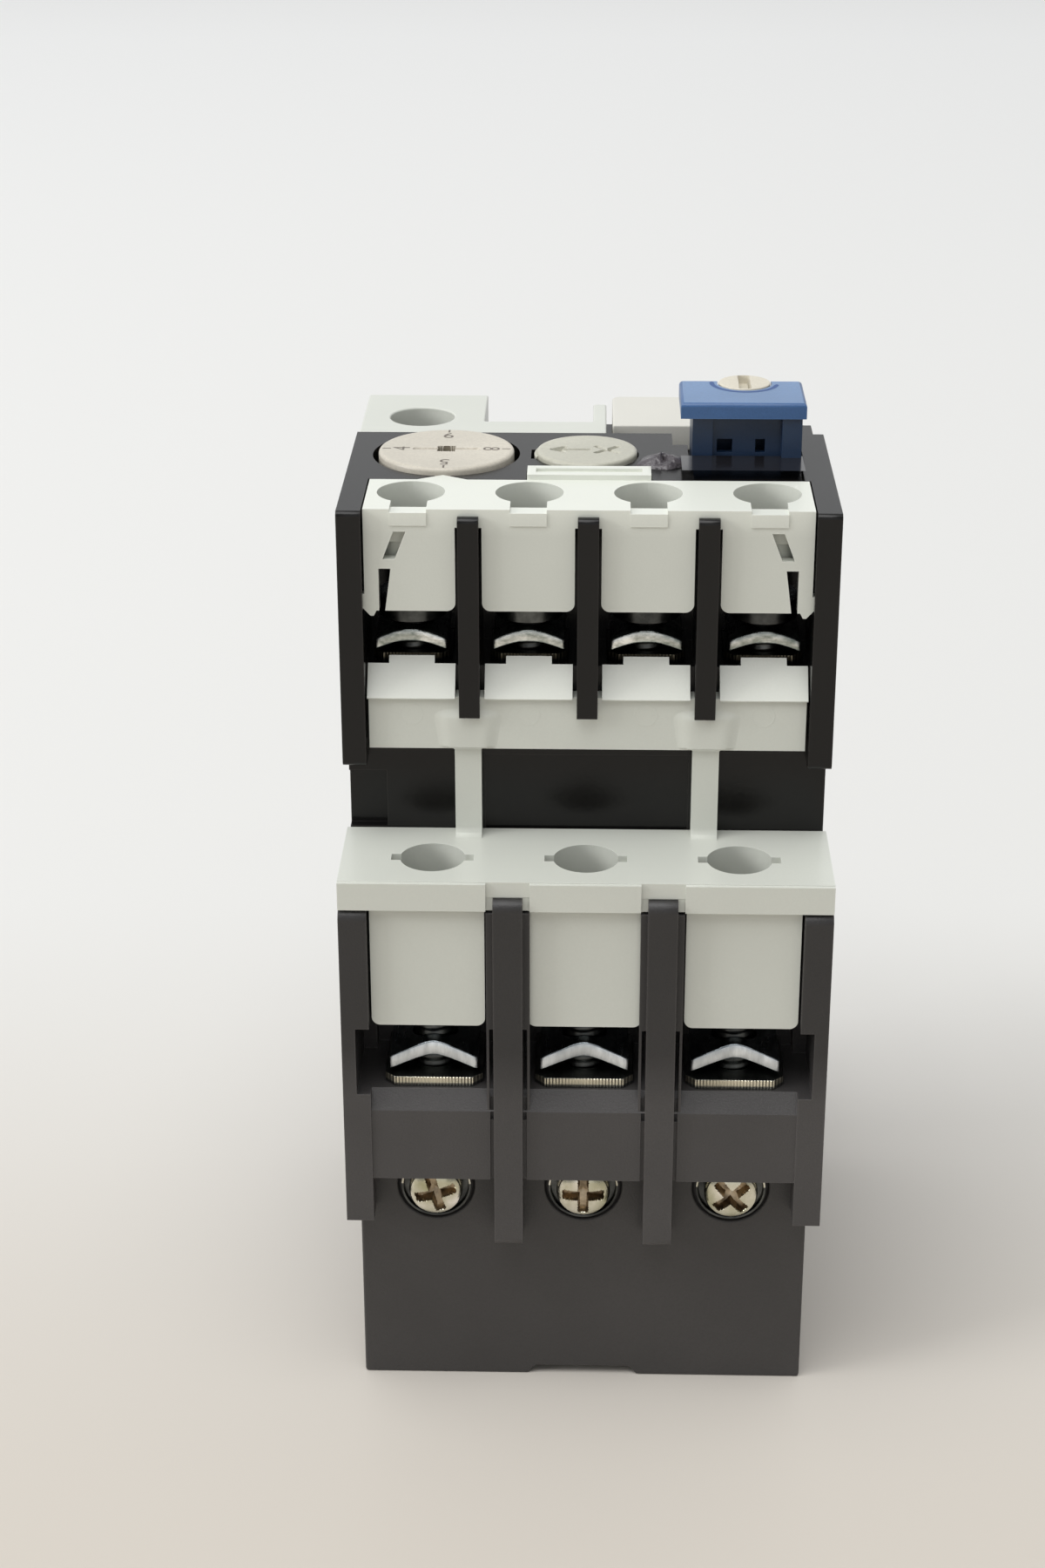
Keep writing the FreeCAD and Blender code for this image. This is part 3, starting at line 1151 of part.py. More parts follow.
def mode_selector():
    """Slotted disc on a shaft that turns in the reset button."""
    body = new_body("mode_selector")
    rim = d.selector_radius
    turned(body, [
        (0, d.selector_shaft_end + d.slot_gap),
        (d.selector_shaft, d.selector_shaft_end + d.slot_gap),
        (d.selector_shaft, d.selector_foot), (rim, d.selector_foot), (rim, d.selector_top),
        (0, d.selector_top),
    ])
    slot = rectangle(-d.selector_slot / 2, d.selector_slot / 2, -rim, rim)
    carve(body, "XY", d.selector_top - d.selector_slot_depth, d.selector_top, [slot])
    return place(body, d.selector_x, d.selector_y)


def calibration_screw():
    """Slotted screw, set in the factory."""
    body = new_body("calibration_screw")
    prism(body, "XY", d.calibration_foot, d.calibration_top, [(0, 0, d.calibration_radius)])
    half = d.selector_slot / 3
    slot = rectangle(-d.calibration_radius, d.calibration_radius, -half, half)
    carve(body, "XY", d.calibration_top - d.selector_slot_depth, d.calibration_top, [slot])
    return place(body, d.calibration_x, d.calibration_y)


def calibration_seal():
    """Drop of sealing lacquer over the calibration screw."""
    body = new_body("calibration_seal")
    rise = d.seal_top - d.calibration_top
    turned(body, [
        (0, d.calibration_top), (d.seal_radius, d.calibration_top),
        (d.seal_radius, d.calibration_top + rise / 2),
        (d.seal_radius / 2, d.seal_top), (0, d.seal_top),
    ])
    return place(body, d.calibration_x, d.calibration_y)


# ---------------------------------------------------------------- current path and mechanism

def connector_blades():
    """Flat blades that plug into the contactor's terminals."""
    nodes = []
    root = d.strip_y + d.strip_depth / 2 + d.ribbon_gap + d.ribbon_thickness + d.seat_gap
    half = d.blade_width / 2
    shoulder = d.blade_tip - d.blade_chamfer
    outline = [
        (-half, root), (half, root), (half, shoulder), (half - d.blade_chamfer, d.blade_tip),
        (d.blade_chamfer - half, d.blade_tip), (-half, shoulder),
    ]
    low = d.blade_level - d.blade_thickness / 2
    for number, pole in enumerate(POLES, start=1):
        body = new_body(f"connector_blade_{number}")
        prism(body, "XY", low, low + d.blade_thickness, [outline])
        nodes.append(place(body, d.main_pitch * pole))
    return nodes


def bimetal_strips():
    """Upright strips that bend sideways when hot."""
    nodes = []
    half = d.strip_depth / 2
    for number, pole in enumerate(POLES, start=1):
        body = new_body(f"bimetal_{number}")
        outline = centred(0, d.strip_thickness, d.strip_y - half, d.strip_y + half)
        prism(body, "XY", d.strip_start, d.strip_end, [outline])
        nodes.append(place(body, d.main_pitch * pole))
    return nodes


def heaters():
    """Ribbon turns round each strip, joined by a strap."""
    nodes = []
    inner_x = d.strip_thickness / 2 + d.ribbon_gap
    inner_y = d.strip_depth / 2 + d.ribbon_gap
    outer_x = inner_x + d.ribbon_thickness
    outer_y = inner_y + d.ribbon_thickness
    turns = int(d.ribbon_turns.value)
    strap_top = d.ribbon_start + d.ribbon_pitch * (turns - 1) + d.ribbon_height
    for number, pole in enumerate(POLES, start=1):
        body = new_body(f"heater_{number}")
        strap = rectangle(-inner_x, inner_x, d.strip_y - outer_y - d.ribbon_thickness / 2,
                          d.strip_y - inner_y)
        prism(body, "XY", d.ribbon_start, strap_top, [strap])
        for turn in range(turns):
            low = d.ribbon_start + d.ribbon_pitch * turn
            prism(body, "XY", low, low + d.ribbon_height, [
                rectangle(-outer_x, outer_x, d.strip_y - outer_y, d.strip_y + outer_y),
                rectangle(-inner_x, inner_x, d.strip_y - inner_y, d.strip_y + inner_y)])
        nodes.append(place(body, d.main_pitch * pole))
    return nodes


def bimetal_brackets():
    """Sheet brackets held by the fixing screws, each with a slotted holder for its strip."""
    front = d.base_front + d.wall
    rear = d.strip_y + d.strip_depth / 2 + d.holder_margin
    holder_front = d.strip_y - d.strip_depth / 2 - d.holder_margin
    leg_top = d.bracket_foot + d.bracket_sheet
    profile = [
        (front, d.bracket_foot), (rear, d.bracket_foot), (rear, d.holder_top),
        (holder_front, d.holder_top), (holder_front, leg_top),
        (front + d.bracket_sheet, leg_top), (front + d.bracket_sheet, d.bracket_tab_top),
        (front, d.bracket_tab_top),
    ]
    half = d.bracket_width / 2
    slot_half = d.strip_depth / 2
    brackets = []
    for number, pole in enumerate(POLES, start=1):
        body = new_body(f"bimetal_bracket_{number}")
        prism(body, "YZ", -half, half, [profile])
        slot = centred(0, d.strip_thickness, d.strip_y - slot_half, d.strip_y + slot_half)
        carve(body, "XY", d.strip_start, d.holder_top, [slot])
        carve(body, "XZ", front, front + d.bracket_sheet, [
            (0, d.fixing_level, d.fixing_shank + d.running_gap)])
        brackets.append(place(body, d.main_pitch * pole))
    group = doc.addObject("Part::Compound", "bimetal_brackets")
    group.Label = "bimetal_brackets"
    group.Links = brackets
    return group


def slide_plate(label, level, right):
    """A thin plate with a window round the head of each strip."""
    body = new_body(label)
    plate = rectangle(d.slide_left, right, d.slide_front, d.slide_rear)
    prism(body, "XY", level, level + d.slide_thickness, [plate])
    near = d.strip_thickness / 2 + d.finger_gap
    half = d.strip_depth / 2 + d.guide_gap
    windows = [
        rectangle(
            d.main_pitch * pole - near - d.slide_travel, d.main_pitch * pole + near,
            d.strip_y - half, d.strip_y + half)
        for pole in POLES
    ]
    carve(body, "XY", level, level + d.slide_thickness, windows)
    return body


def slides():
    """Trip slide on the partitions and the differential slide on top of it."""
    level = d.partition_top + d.slide_gap
    upper = level + d.slide_thickness + d.slide_gap
    return [
        slide_plate("trip_slide", level, d.slide_right),
        slide_plate("differential_slide", upper, d.differential_right),
    ]


def trip_lever():
    """Two-armed lever: the slide pushes its lower arm, its upper arm pushes the carrier."""
    body = new_body("trip_lever")
    low_y = d.strip_y - d.lever_depth / 2
    high_y = d.strip_y + d.lever_depth / 2
    arm_left = d.slide_right + d.slide_gap - d.lever_x
    prism(body, "XZ", low_y, high_y, [(0, 0, d.lever_hub)])
    arm = rectangle(arm_left, arm_left + d.lever_arm, d.lever_foot - d.lever_level, 0)
    prism(body, "XZ", low_y, high_y, [arm])
    upper_left = d.upper_arm_x - d.lever_x
    upper = [
        (-d.lever_arm, 0), (d.lever_arm, 0),
        (upper_left + d.lever_arm, d.lever_top - d.lever_level),
        (upper_left, d.lever_top - d.lever_level),
    ]
    prism(body, "XZ", low_y, high_y, [upper])
    carve(body, "XZ", low_y, high_y, [(0, 0, d.pin_radius + d.running_gap)])
    return place(body, d.lever_x, 0, d.lever_level)


def lever_pin():
    """Pivot pin between the frame's lugs."""
    body = new_body("lever_pin")
    half = d.lug_inner + d.frame_sheet
    prism(body, "XZ", d.strip_y - half, d.strip_y + half, [(0, 0, d.pin_radius)])
    return place(body, d.lever_x, 0, d.lever_level)


def mechanism_frame():
    """Plate on the middle housing's rim with two lugs for the lever and two guide posts."""
    body = new_body("mechanism_frame")
    foot = d.mid_top + d.running_gap
    top = foot + d.frame_sheet
    half = d.frame_width / 2
    prism(body, "XY", foot, top, [rectangle(-half, half, d.frame_front, d.frame_rear)])
    window_half = d.lever_depth / 2 + d.guide_gap
    window = rectangle(
        d.lever_x - d.guide_gap, d.lever_x + d.slide_travel + d.lever_arm * 1.5,
        d.strip_y - window_half, d.strip_y + window_half)
    carve(body, "XY", foot, top, [window])
    lug = centred(d.lever_x, d.lug_half_width * 2, foot, d.lug_top)
    bore = (d.lever_x, d.lever_level, d.pin_radius)
    for side in SIDES:
        near = d.strip_y + d.lug_inner * side
        far = d.strip_y + (d.lug_inner + d.frame_sheet) * side
        low, high = (far, near) if side < 0 else (near, far)
        prism(body, "XZ", low, high, [lug])
        carve(body, "XZ", low, high, [bore])
    post = rectangle(d.strip_y - d.post_half_depth, d.strip_y + d.post_half_depth,
                     foot, d.post_top)
    gate_half = d.carrier_depth / 2 + d.seat_gap
    gate = rectangle(
        d.strip_y - gate_half, d.strip_y + gate_half, d.carrier_foot - d.seat_gap,
        d.carrier_foot + d.carrier_height + d.seat_gap)
    for side in SIDES:
        low = d.post_offset * side - d.frame_sheet / 2
        prism(body, "YZ", low, low + d.frame_sheet, [post])
        carve(body, "YZ", low, low + d.frame_sheet, [gate])
    return body


def contact_carrier():
    """Sliding bar that the lever pushes through the guide posts."""
    body = new_body("contact_carrier")
    half = d.carrier_depth / 2
    prism(body, "XY", d.carrier_foot, d.carrier_foot + d.carrier_height, [
        rectangle(d.carrier_left, d.carrier_right, d.strip_y - half, d.strip_y + half)])
    return body


def contact_bridge():
    """Moving contact strip under the carrier."""
    body = new_body("contact_bridge")
    half = d.bridge_depth / 2
    top = d.carrier_foot
    prism(body, "XY", top - d.bridge_height, top, [
        centred(0, d.bridge_sheet, d.strip_y - half, d.strip_y + half)])
    return body


# ---------------------------------------------------------------- build and export

nodes = [base_housing(), terminal_housing(), front_housing()]
nodes += [main_terminal_cover(), aux_terminal_cover(), coil_terminal_cover(), marker_plate()]
nodes += main_terminals() + aux_terminals() + coil_terminal() + fixing_screws()
nodes += [setting_dial(), setting_cam(), test_button(), test_spring(), reset_button()]
nodes += [reset_spring(), mode_selector(), calibration_screw(), calibration_seal()]
nodes += connector_blades() + bimetal_strips() + heaters() + [bimetal_brackets()]
nodes += slides() + [trip_lever(), lever_pin(), mechanism_frame()]
nodes += [contact_carrier(), contact_bridge()]
doc.recompute()

for item in doc.Objects:
    if "Invalid" in item.State or "Error" in item.State:
        raise RuntimeError(f"{item.Label}: {item.State}")
os.makedirs("parts", exist_ok=True)
for node in nodes:
    if node.Shape.isNull() or not node.Shape.isValid():
        raise RuntimeError(f"{node.Label} has no valid shape")
    node.Shape.exportStep(f"parts/{node.Label}.step")
print(f"{len(nodes)} nodes")
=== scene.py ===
import json
import math

import bmesh
import bpy
import numpy as np
from mathutils import Matrix, Vector


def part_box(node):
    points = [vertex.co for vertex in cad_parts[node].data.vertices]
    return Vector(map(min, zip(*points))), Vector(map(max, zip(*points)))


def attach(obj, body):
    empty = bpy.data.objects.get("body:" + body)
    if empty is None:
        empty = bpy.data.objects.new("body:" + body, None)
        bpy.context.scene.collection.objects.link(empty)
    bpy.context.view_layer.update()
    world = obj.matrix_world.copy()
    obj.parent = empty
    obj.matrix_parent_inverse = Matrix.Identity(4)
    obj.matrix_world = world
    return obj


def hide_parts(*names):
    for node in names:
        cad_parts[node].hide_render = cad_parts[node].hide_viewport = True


# Thermal overload relay with its finishes and its finer forms. Metres, +Z out of the panel,
# -Y towards the load terminals, +X right.

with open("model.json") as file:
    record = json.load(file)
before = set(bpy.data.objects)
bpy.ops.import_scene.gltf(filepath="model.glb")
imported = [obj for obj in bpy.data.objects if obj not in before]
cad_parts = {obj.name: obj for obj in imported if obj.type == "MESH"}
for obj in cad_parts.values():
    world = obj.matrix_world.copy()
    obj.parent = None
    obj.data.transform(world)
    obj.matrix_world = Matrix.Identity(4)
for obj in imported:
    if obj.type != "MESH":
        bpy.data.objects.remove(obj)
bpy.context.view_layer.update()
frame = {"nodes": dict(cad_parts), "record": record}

MM = 0.001


# ------------------------------------------------------------------ camera, floor and light
# The relay stands on a wide pale table. A broad soft lamp hangs over it, a smaller one
# stands high at the left, and the pale room around shows in the metal.

PITCH, YAW, ROLL = math.radians(23.826), math.radians(-1.579), math.radians(-0.135)
EYE = Vector((0.564, -258.408, 164.571)) * MM
SENSOR, LENS = 36.0, 63.894
forward = Vector((math.sin(YAW) * math.cos(PITCH), math.cos(YAW) * math.cos(PITCH),
                  -math.sin(PITCH)))
right = Vector((math.cos(YAW), -math.sin(YAW), 0.0))
up = right.cross(forward)
turned_right = right * math.cos(ROLL) + up * math.sin(ROLL)
turned_up = up * math.cos(ROLL) - right * math.sin(ROLL)
camera = bpy.data.objects.new("camera", bpy.data.cameras.new("camera"))
bpy.context.scene.collection.objects.link(camera)
camera.matrix_world = Matrix((
    (turned_right.x, turned_up.x, -forward.x, EYE.x),
    (turned_right.y, turned_up.y, -forward.y, EYE.y),
    (turned_right.z, turned_up.z, -forward.z, EYE.z),
    (0, 0, 0, 1),
))
camera.data.sensor_width = SENSOR
camera.data.lens = LENS
camera.data.clip_start = 0.01
camera.data.clip_end = 50.0
bpy.context.scene.camera = camera
bpy.context.scene.view_settings.view_transform = "Standard"


def node_material(name):
    """A new node material, its tree and its shader."""
    material = bpy.data.materials.new(name)
    material.use_nodes = True
    tree = material.node_tree
    return material, tree, tree.nodes["Principled BSDF"]


def add_node(tree, kind, **values):
    """A node with properties (plain names) and socket values (names with a leading at_)."""
    node = tree.nodes.new(kind)
    for key, value in values.items():
        if key.startswith("at_"):
            node.inputs[key[3:].replace("_", " ")].default_value = value
        else:
            setattr(node, key, value)
    return node


def mixed_colours(tree, factor, first, second):
    """The socket of a colour between two: first where the factor is 0, second where 1.
    Each of the two is a colour or a socket that gives one."""
    mix = add_node(tree, "ShaderNodeMix", data_type="RGBA")
    tree.links.new(factor, mix.inputs[0])
    for socket, colour in ((mix.inputs[6], first), (mix.inputs[7], second)):
        if isinstance(colour, tuple):
            socket.default_value = (*colour, 1)
        else:
            tree.links.new(colour, socket)
    return mix.outputs[2]


def lamp(name, place, aim, size, watts):
    """A square area lamp at a place, turned to the point it lights."""
    data = bpy.data.lights.new(name, "AREA")
    data.size = size
    data.energy = watts
    thing = bpy.data.objects.new(name, data)
    thing.location = place
    thing.rotation_euler = (Vector(aim) - Vector(place)).to_track_quat("-Z", "Y").to_euler()
    bpy.context.scene.collection.objects.link(thing)


middle = (0, 0, 0.045)
lamp("overhead", (-0.20, -0.40, 1.50), (0, 0.10, 0), 1.30, 18.5)
lamp("left_key", (-1.35, -0.42, 0.62), middle, 0.60, 10.5)
lamp("front_fill", (0.10, -1.60, 0.45), middle, 1.20, 2.0)

world = bpy.data.worlds.new("room")
world.use_nodes = True
bpy.context.scene.world = world
tree = world.node_tree
room = tree.nodes["Background"]
room.inputs["Color"].default_value = (0.93, 0.94, 0.95, 1)
sky = add_node(tree, "ShaderNodeSeparateXYZ")
tree.links.new(add_node(tree, "ShaderNodeTexCoord").outputs["Generated"], sky.inputs["Vector"])
depth = add_node(tree, "ShaderNodeMapRange", at_From_Min=-0.6, at_From_Max=0.7,
                 at_To_Min=0.34, at_To_Max=0.80)
tree.links.new(sky.outputs["Y"], depth.inputs["Value"])
tree.links.new(depth.outputs["Result"], room.inputs["Strength"])

FLOOR_HALF = 4.0
floor_mesh = bpy.data.meshes.new("floor")
floor_mesh.from_pydata([(x * FLOOR_HALF, y * FLOOR_HALF, 0)
                        for x, y in ((-1, -1), (1, -1), (1, 1), (-1, 1))], [], [(0, 1, 2, 3)])
floor = bpy.data.objects.new("floor", floor_mesh)
bpy.context.scene.collection.objects.link(floor)
# The table is painted darker and warmer in front of the relay, 0.545 there, and paler towards
# the back, up to 0.87: painted shade in front of the relay, with a little random blotching.
table, tree, shader = node_material("table")
shader.inputs["Roughness"].default_value = 0.55
shader.inputs["Specular IOR Level"].default_value = 0.15
place = add_node(tree, "ShaderNodeTexCoord").outputs["Object"]
split = add_node(tree, "ShaderNodeSeparateXYZ")
clouds = add_node(tree, "ShaderNodeTexNoise", at_Scale=9.0, at_Detail=3.0)
near = add_node(tree, "ShaderNodeMapRange", at_From_Min=-0.08, at_From_Max=0.10,
                interpolation_type="SMOOTHSTEP")
far = add_node(tree, "ShaderNodeMapRange", at_From_Min=0.05, at_From_Max=0.80)
blotch_and_shade = add_node(tree, "ShaderNodeMath", operation="MULTIPLY_ADD")
blotch_and_shade.inputs[1].default_value = 0.10
tree.links.new(place, split.inputs["Vector"])
tree.links.new(place, clouds.inputs["Vector"])
tree.links.new(split.outputs["Y"], near.inputs["Value"])
tree.links.new(split.outputs["Y"], far.inputs["Value"])
tree.links.new(clouds.outputs["Fac"], blotch_and_shade.inputs[0])
tree.links.new(near.outputs["Result"], blotch_and_shade.inputs[2])
painted_shade_to_pale = mixed_colours(tree, blotch_and_shade.outputs["Value"], (0.545, 0.500, 0.440),
                             (0.665, 0.660, 0.640))
tree.links.new(mixed_colours(tree, far.outputs["Result"], painted_shade_to_pale, (0.87, 0.87, 0.86)),
               shader.inputs["Base Color"])
floor_mesh.materials.append(table)


# ------------------------------------------------------------------ black housings
# Three mouldings of black glass-filled polyamide with a fine satin spark texture: the rear
# tray, the middle one with the wings and barriers, and the front one with the wells.

nodes = frame["nodes"]
record = frame["record"]
bodies = {node: body for body, members in record["behaviour"]["bodies"].items()
          for node in members}


def lay_on(piece, node):
    """The piece goes with the node: it rides the same body."""
    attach(piece, bodies[node])
    return piece


def adopt(piece, node):
    """The piece goes with the node, stands for it and hides it."""
    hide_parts(node)
    return lay_on(piece, node)


def product(tree, first, second):
    """The socket of two numbers multiplied."""
    times = add_node(tree, "ShaderNodeMath", operation="MULTIPLY")
    tree.links.new(first, times.inputs[0])
    tree.links.new(second, times.inputs[1])
    return times.outputs["Value"]


def moulded_plastic(name, colour, roughness, grain, relief, coat=0.0, edge_highlight=None, fade=None,
                    sheen=0.5, mottle=0.14):
    """Satin plastic: noise tints the colour, a finer noise sets the roughness and the relief.
    The colour is multiplied by 1 plus or minus the mottle, and the roughness varies by 0.06
    each way. Where the surface turns sharply the colour goes over, in patches, to the edge
    highlight colour: a painted highlight along the edges. A fade (low, high, share) scales the
    colour by the share above the high level, not at all below the low one, and in proportion
    between; it paints light and shade by height."""
    material, tree, shader = node_material(name)
    link = tree.links.new
    place = add_node(tree, "ShaderNodeTexCoord").outputs["Object"]
    cloud = add_node(tree, "ShaderNodeTexNoise", at_Scale=90.0, at_Detail=4.0)
    fine = add_node(tree, "ShaderNodeTexNoise", at_Scale=grain, at_Detail=4.0,
                    at_Roughness=0.65)
    link(place, cloud.inputs["Vector"])
    link(place, fine.inputs["Vector"])
    shade = add_node(tree, "ShaderNodeMapRange", at_From_Min=0.10, at_From_Max=0.40,
                     at_To_Min=1 - mottle, at_To_Max=1 + mottle)
    link(product(tree, cloud.outputs["Fac"], fine.outputs["Fac"]), shade.inputs["Value"])
    share = shade.outputs["Result"]
    if fade is not None:
        height = add_node(tree, "ShaderNodeSeparateXYZ")
        link(place, height.inputs["Vector"])
        level = add_node(tree, "ShaderNodeMapRange", at_From_Min=fade[0], at_From_Max=fade[1],
                         at_To_Min=1.0, at_To_Max=fade[2])
        link(height.outputs["Z"], level.inputs["Value"])
        share = product(tree, share, level.outputs["Result"])
    tint = add_node(tree, "ShaderNodeVectorMath", operation="SCALE")
    tint.inputs[0].default_value = colour
    link(share, tint.inputs["Scale"])
    shown = tint.outputs["Vector"]
    # painted highlight: the edges go over to a lighter colour in patches
    if edge_highlight is not None:
        rolled = add_node(tree, "ShaderNodeBevel", samples=4, at_Radius=0.22 * MM)
        flat = add_node(tree, "ShaderNodeNewGeometry")
        turn = add_node(tree, "ShaderNodeVectorMath", operation="DOT_PRODUCT")
        link(rolled.outputs["Normal"], turn.inputs[0])
        link(flat.outputs["Normal"], turn.inputs[1])
        edge = add_node(tree, "ShaderNodeMapRange", at_From_Min=0.99, at_From_Max=0.72,
                        at_To_Min=0.0, at_To_Max=0.75)
        link(turn.outputs["Value"], edge.inputs["Value"])
        patchy = product(tree, edge.outputs["Result"], cloud.outputs["Fac"])
        shown = mixed_colours(tree, patchy, shown, edge_highlight)
    link(shown, shader.inputs["Base Color"])
    gloss = add_node(tree, "ShaderNodeMapRange", at_To_Min=roughness - 0.06,
                     at_To_Max=roughness + 0.06)
    link(fine.outputs["Fac"], gloss.inputs["Value"])
    link(gloss.outputs["Result"], shader.inputs["Roughness"])
    bump = add_node(tree, "ShaderNodeBump", at_Strength=relief, at_Distance=0.06 * MM)
    link(fine.outputs["Fac"], bump.inputs["Height"])
    link(bump.outputs["Normal"], shader.inputs["Normal"])
    shader.inputs["Coat Weight"].default_value = coat
    shader.inputs["Coat Roughness"].default_value = 0.2
    shader.inputs["Specular IOR Level"].default_value = sheen
    return material


def softened_copy(node, material, width, cuts=()):
    """The node's own faces with its sharp edges rolled by a bevel of the given width. Flat
    faces lose the lines between their triangles, except along cuts at the X in millimetres
    that are named, which pass through their holes. It takes the node's place."""
    mesh = nodes[node].data.copy()
    mesh.name = node + "_soft"
    mesh.materials.clear()
    work = bmesh.new()
    work.from_mesh(mesh)
    bmesh.ops.remove_doubles(work, verts=work.verts, dist=1e-6)
    low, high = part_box(node)
    for x in cuts or ((low[0] + high[0]) / 2 / MM,):
        made = bmesh.ops.bisect_plane(work, geom=[*work.verts, *work.edges, *work.faces],
                                      dist=1e-7, plane_co=(x * MM, 0, 0),
                                      plane_no=(1, 0, 0))
        for part in made["geom_cut"]:
            if isinstance(part, bmesh.types.BMEdge):
                part.seam = True
    bmesh.ops.dissolve_limit(work, angle_limit=math.radians(0.6), verts=work.verts,
                             edges=work.edges, delimit={"SEAM"})
    work.to_mesh(mesh)
    work.free()
    piece = bpy.data.objects.new(node + "_soft", mesh)
    bpy.context.scene.collection.objects.link(piece)
    bevel = piece.modifiers.new("rolled_edges", "BEVEL")
    bevel.width = width
    bevel.segments = 2
    bevel.limit_method = "ANGLE"
    bevel.angle_limit = math.radians(28.0)
    bevel.use_clamp_overlap = True
    bevel.miter_outer = "MITER_ARC"
    weighted = piece.modifiers.new("flat_faces", "WEIGHTED_NORMAL")
    weighted.weight = 100
    weighted.keep_sharp = True
    mesh.materials.append(material)
    mesh.shade_smooth()
    return adopt(piece, node)


# middles of the holes in millimetres, where the copies' flat faces are cut
POLE_X = (-14.1, 0.0, 14.1)
BARRIER_X = (-7.05, 7.05)
POST_X = (-16.125, -5.375, 5.375, 16.125)
WELL_X = (-13.5, -0.25, 6.4, 12.0, 14.6, 18.0)
# All three have their edges painted lighter in patches, a painted highlight. The middle one is
# painted darker from 32.5 mm up, to 0.4 of its colour above 38 mm: painted shade on its upper
# parts.
tray_black = moulded_plastic("tray_black", (0.038, 0.0355, 0.0345), 0.44, 5200.0, 0.55,
                             edge_highlight=(0.12, 0.115, 0.11))
satin_black = moulded_plastic("satin_black", (0.050, 0.0470, 0.0465), 0.42, 5200.0, 0.55,
                              edge_highlight=(0.14, 0.13, 0.125), fade=(32.5 * MM, 38.0 * MM, 0.40))
deep_black = moulded_plastic("deep_black", (0.0055, 0.0052, 0.0050), 0.22, 4200.0, 0.16,
                             edge_highlight=(0.050, 0.045, 0.042), sheen=0.30)
softened_copy("base_housing", tray_black, 0.25 * MM, POLE_X)
softened_copy("terminal_housing", satin_black, 0.22 * MM, (*POLE_X, *BARRIER_X))
softened_copy("front_housing", deep_black, 0.22 * MM, (*POST_X, *WELL_X))


# ------------------------------------------------------------------ grey covers
# Snap-on covers of light grey, slightly green polyamide. They are smooth satin, and their
# edges are painted a little lighter: a painted highlight. The auxiliary one is painted paler
# on top, by 1.18 above 86.8 mm: painted light.

UPRIGHT_X = (-10.97, 10.97)
SNAP_ARM_X = (-18.6, 18.6, -19.0, 19.0)
COIL_X = -16.5
cover_grey = moulded_plastic("cover_grey", (0.575, 0.590, 0.535), 0.36, 5000.0, 0.05, 0.15,
                             edge_highlight=(0.72, 0.73, 0.68), mottle=0.025)
top_lit_grey = moulded_plastic("top_lit_grey", (0.575, 0.590, 0.535), 0.36, 5000.0, 0.05, 0.15,
                             edge_highlight=(0.80, 0.80, 0.74), fade=(84.5 * MM, 86.8 * MM, 1.18),
                             mottle=0.025)
main_cover = softened_copy("main_terminal_cover", cover_grey, 0.20 * MM,
                           (*POLE_X, *UPRIGHT_X))
softened_copy("aux_terminal_cover", top_lit_grey, 0.16 * MM, (*POST_X, 0.0, *SNAP_ARM_X))
softened_copy("coil_terminal_cover", cover_grey, 0.18 * MM, (COIL_X,))


# ------------------------------------------------------------------ marker plate
# A flat cream tag of acetal on the deck behind the reset button, moulded in one piece.
# The user writes on it, so it is left bare.

marker_cream = moulded_plastic("marker_cream", (0.60, 0.59, 0.535), 0.40, 5000.0, 0.08,
                               mottle=0.03)
softened_copy("marker_plate", marker_cream, 0.20 * MM)


# ------------------------------------------------------------------ terminal screws
# Zinc plated cheese-head screws with a cross slot. Their rolled threads show between the
# clamp and the head; the eight stand straight up in their wells.

def plated_metal(name, colour, second, roughness, stretch, relief, grain=900.0):
    """Plated metal: a noise drawn out by the stretch, times a coarser one, mixes two
    colours. The drawn noise alone sets the roughness and scores the surface by the relief."""
    material, tree, shader = node_material(name)
    link = tree.links.new
    place = add_node(tree, "ShaderNodeTexCoord").outputs["Object"]
    drawn = add_node(tree, "ShaderNodeMapping")
    drawn.inputs["Scale"].default_value = stretch
    link(place, drawn.inputs["Vector"])
    streaks = add_node(tree, "ShaderNodeTexNoise", at_Scale=grain, at_Detail=5.0,
                       at_Roughness=0.6)
    link(drawn.outputs["Vector"], streaks.inputs["Vector"])
    patch = add_node(tree, "ShaderNodeTexNoise", at_Scale=260.0, at_Detail=2.0)
    link(place, patch.inputs["Vector"])
    spread = add_node(tree, "ShaderNodeMapRange", at_From_Min=0.12, at_From_Max=0.40)
    link(product(tree, streaks.outputs["Fac"], patch.outputs["Fac"]), spread.inputs["Value"])
    link(mixed_colours(tree, spread.outputs["Result"], second, colour),
         shader.inputs["Base Color"])
    gloss = add_node(tree, "ShaderNodeMapRange", at_To_Min=roughness - 0.08,
                     at_To_Max=roughness + 0.10)
    link(streaks.outputs["Fac"], gloss.inputs["Value"])
    link(gloss.outputs["Result"], shader.inputs["Roughness"])
    bump = add_node(tree, "ShaderNodeBump", at_Strength=relief, at_Distance=0.05 * MM)
    link(streaks.outputs["Fac"], bump.inputs["Height"])
    link(bump.outputs["Normal"], shader.inputs["Normal"])
    shader.inputs["Metallic"].default_value = 1.0
    return material


def new_piece(name, points, faces, material, smooth_angle=35.0):
    """A mesh object of points (one row each) and faces, its faces turned outward."""
    mesh = bpy.data.meshes.new(name)
    mesh.from_pydata(points.tolist(), [], faces)
    work = bmesh.new()
    work.from_mesh(mesh)
    bmesh.ops.recalc_face_normals(work, faces=work.faces)
    work.to_mesh(mesh)
    work.free()
    mesh.materials.append(material)
    mesh.shade_smooth()
    mesh.set_sharp_from_angle(angle=math.radians(smooth_angle))
    piece = bpy.data.objects.new(name, mesh)
    bpy.context.scene.collection.objects.link(piece)
    return piece


